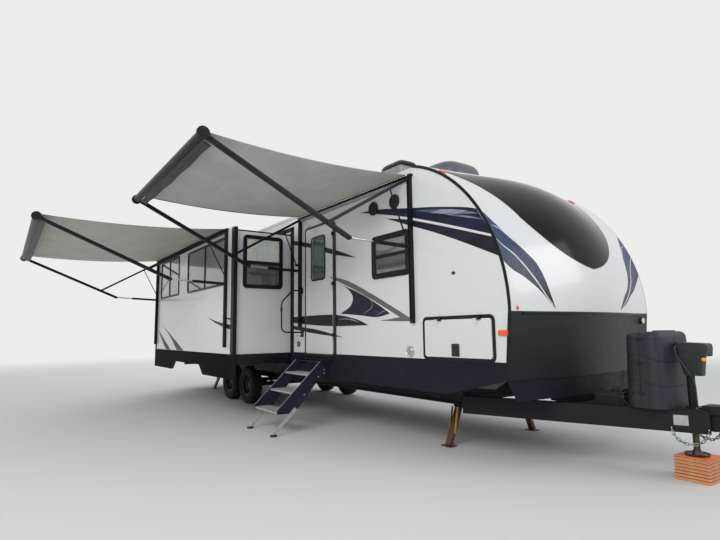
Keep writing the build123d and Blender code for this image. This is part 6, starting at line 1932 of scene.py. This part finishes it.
class CARAVAN_OT_stage(bpy.types.Operator):
    """Add the floor, soft light, background and the camera of the photograph"""

    bl_idname = "caravan.stage"
    bl_label = "Stage and camera"

    def execute(self, context):
        scene = context.scene
        scene.view_settings.view_transform = "Standard"
        stage_floor()
        world = bpy.data.worlds.new("Soft studio")
        world.use_nodes = True
        scene.world = world
        tree = world.node_tree
        light = tree.nodes["Background"]
        light.inputs["Color"].default_value = hex_linear("#E9EDF2")
        light.inputs["Strength"].default_value = 0.62
        plain = add_node(
            tree, "ShaderNodeBackground", values={"Color": hex_linear("#EDEDEC"), "Strength": 1.0}
        )
        path = add_node(tree, "ShaderNodeLightPath")
        seen = path.outputs["Is Camera Ray"]
        for kind in ("Is Glossy Ray", "Is Transmission Ray"):
            seen = calc(tree, "MAXIMUM", seen, path.outputs[kind])
        mix = add_node(
            tree, "ShaderNodeMixShader",
            {0: seen, 1: light.outputs["Background"], 2: plain.outputs["Background"]}
        )
        tree.links.new(mix.outputs["Shader"], tree.nodes["World Output"].inputs["Surface"])
        add_lamp("Key light", (4.0, -13.0, 9.0), (-4.0, -1.0, 1.5), (9.0, 6.0), 1150, (1.0, 0.98, 0.95))
        add_lamp("Fill light", (9.0, 6.0, 7.0), (-2.0, 0.0, 1.5), (8.0, 6.0), 420, (0.95, 0.97, 1.0))
        add_lamp("Back light", (-18.0, 6.0, 9.0), (-6.0, 0.0, 1.5), (9.0, 6.0), 500, (1.0, 1.0, 1.0))
        data = bpy.data.cameras.new("Photo camera")
        data.sensor_width = SENSOR_MM
        data.lens = CAMERA_FOCUS_PX / IMAGE_W * SENSOR_MM
        data.clip_end = 300.0
        camera = linked_object("Photo camera", data)
        camera.matrix_world = look_matrix(CAMERA_AT, CAMERA_YAW, CAMERA_PITCH, CAMERA_ROLL)
        scene.camera = camera
        return {"FINISHED"}


class CARAVAN_PT_panel(bpy.types.Panel):
    """Lists the steps that dress the caravan"""

    bl_idname = "CARAVAN_PT_panel"
    bl_label = "Travel caravan"
    bl_space_type = "VIEW_3D"
    bl_region_type = "UI"
    bl_category = "Caravan"

    def draw(self, context):
        layout = self.layout
        for step in STEPS:
            layout.operator(step.bl_idname)
        for group in (context.scene.caravan_colours, context.scene.caravan_sizes):
            for key in group.__annotations__:
                layout.prop(group, key)


GROUPS = (CaravanColours, CaravanSizes)
STEPS = (
    CARAVAN_OT_finishes,
    CARAVAN_OT_wall_stripes,
    CARAVAN_OT_slide_kick,
    CARAVAN_OT_cap_blades,
    CARAVAN_OT_awning_cloths,
    CARAVAN_OT_awning_fittings,
    CARAVAN_OT_windows,
    CARAVAN_OT_roof_gear,
    CARAVAN_OT_cap_fittings,
    CARAVAN_OT_wall_details,
    CARAVAN_OT_tow_details,
    CARAVAN_OT_step_details,
    CARAVAN_OT_rear_details,
    CARAVAN_OT_wheels,
    CARAVAN_OT_trim_screws,
    CARAVAN_OT_stage,
)


def register():
    for part in GROUPS + STEPS + (CARAVAN_PT_panel,):
        bpy.utils.register_class(part)
    bpy.types.Scene.caravan_colours = PointerProperty(type=CaravanColours)
    bpy.types.Scene.caravan_sizes = PointerProperty(type=CaravanSizes)


def unregister():
    del bpy.types.Scene.caravan_sizes
    del bpy.types.Scene.caravan_colours
    for part in reversed(GROUPS + STEPS + (CARAVAN_PT_panel,)):
        bpy.utils.unregister_class(part)


def main():
    register()
    for step in STEPS:
        group, name = step.bl_idname.split(".")
        getattr(getattr(bpy.ops, group), name)()


if __name__ == "__main__":
    main()
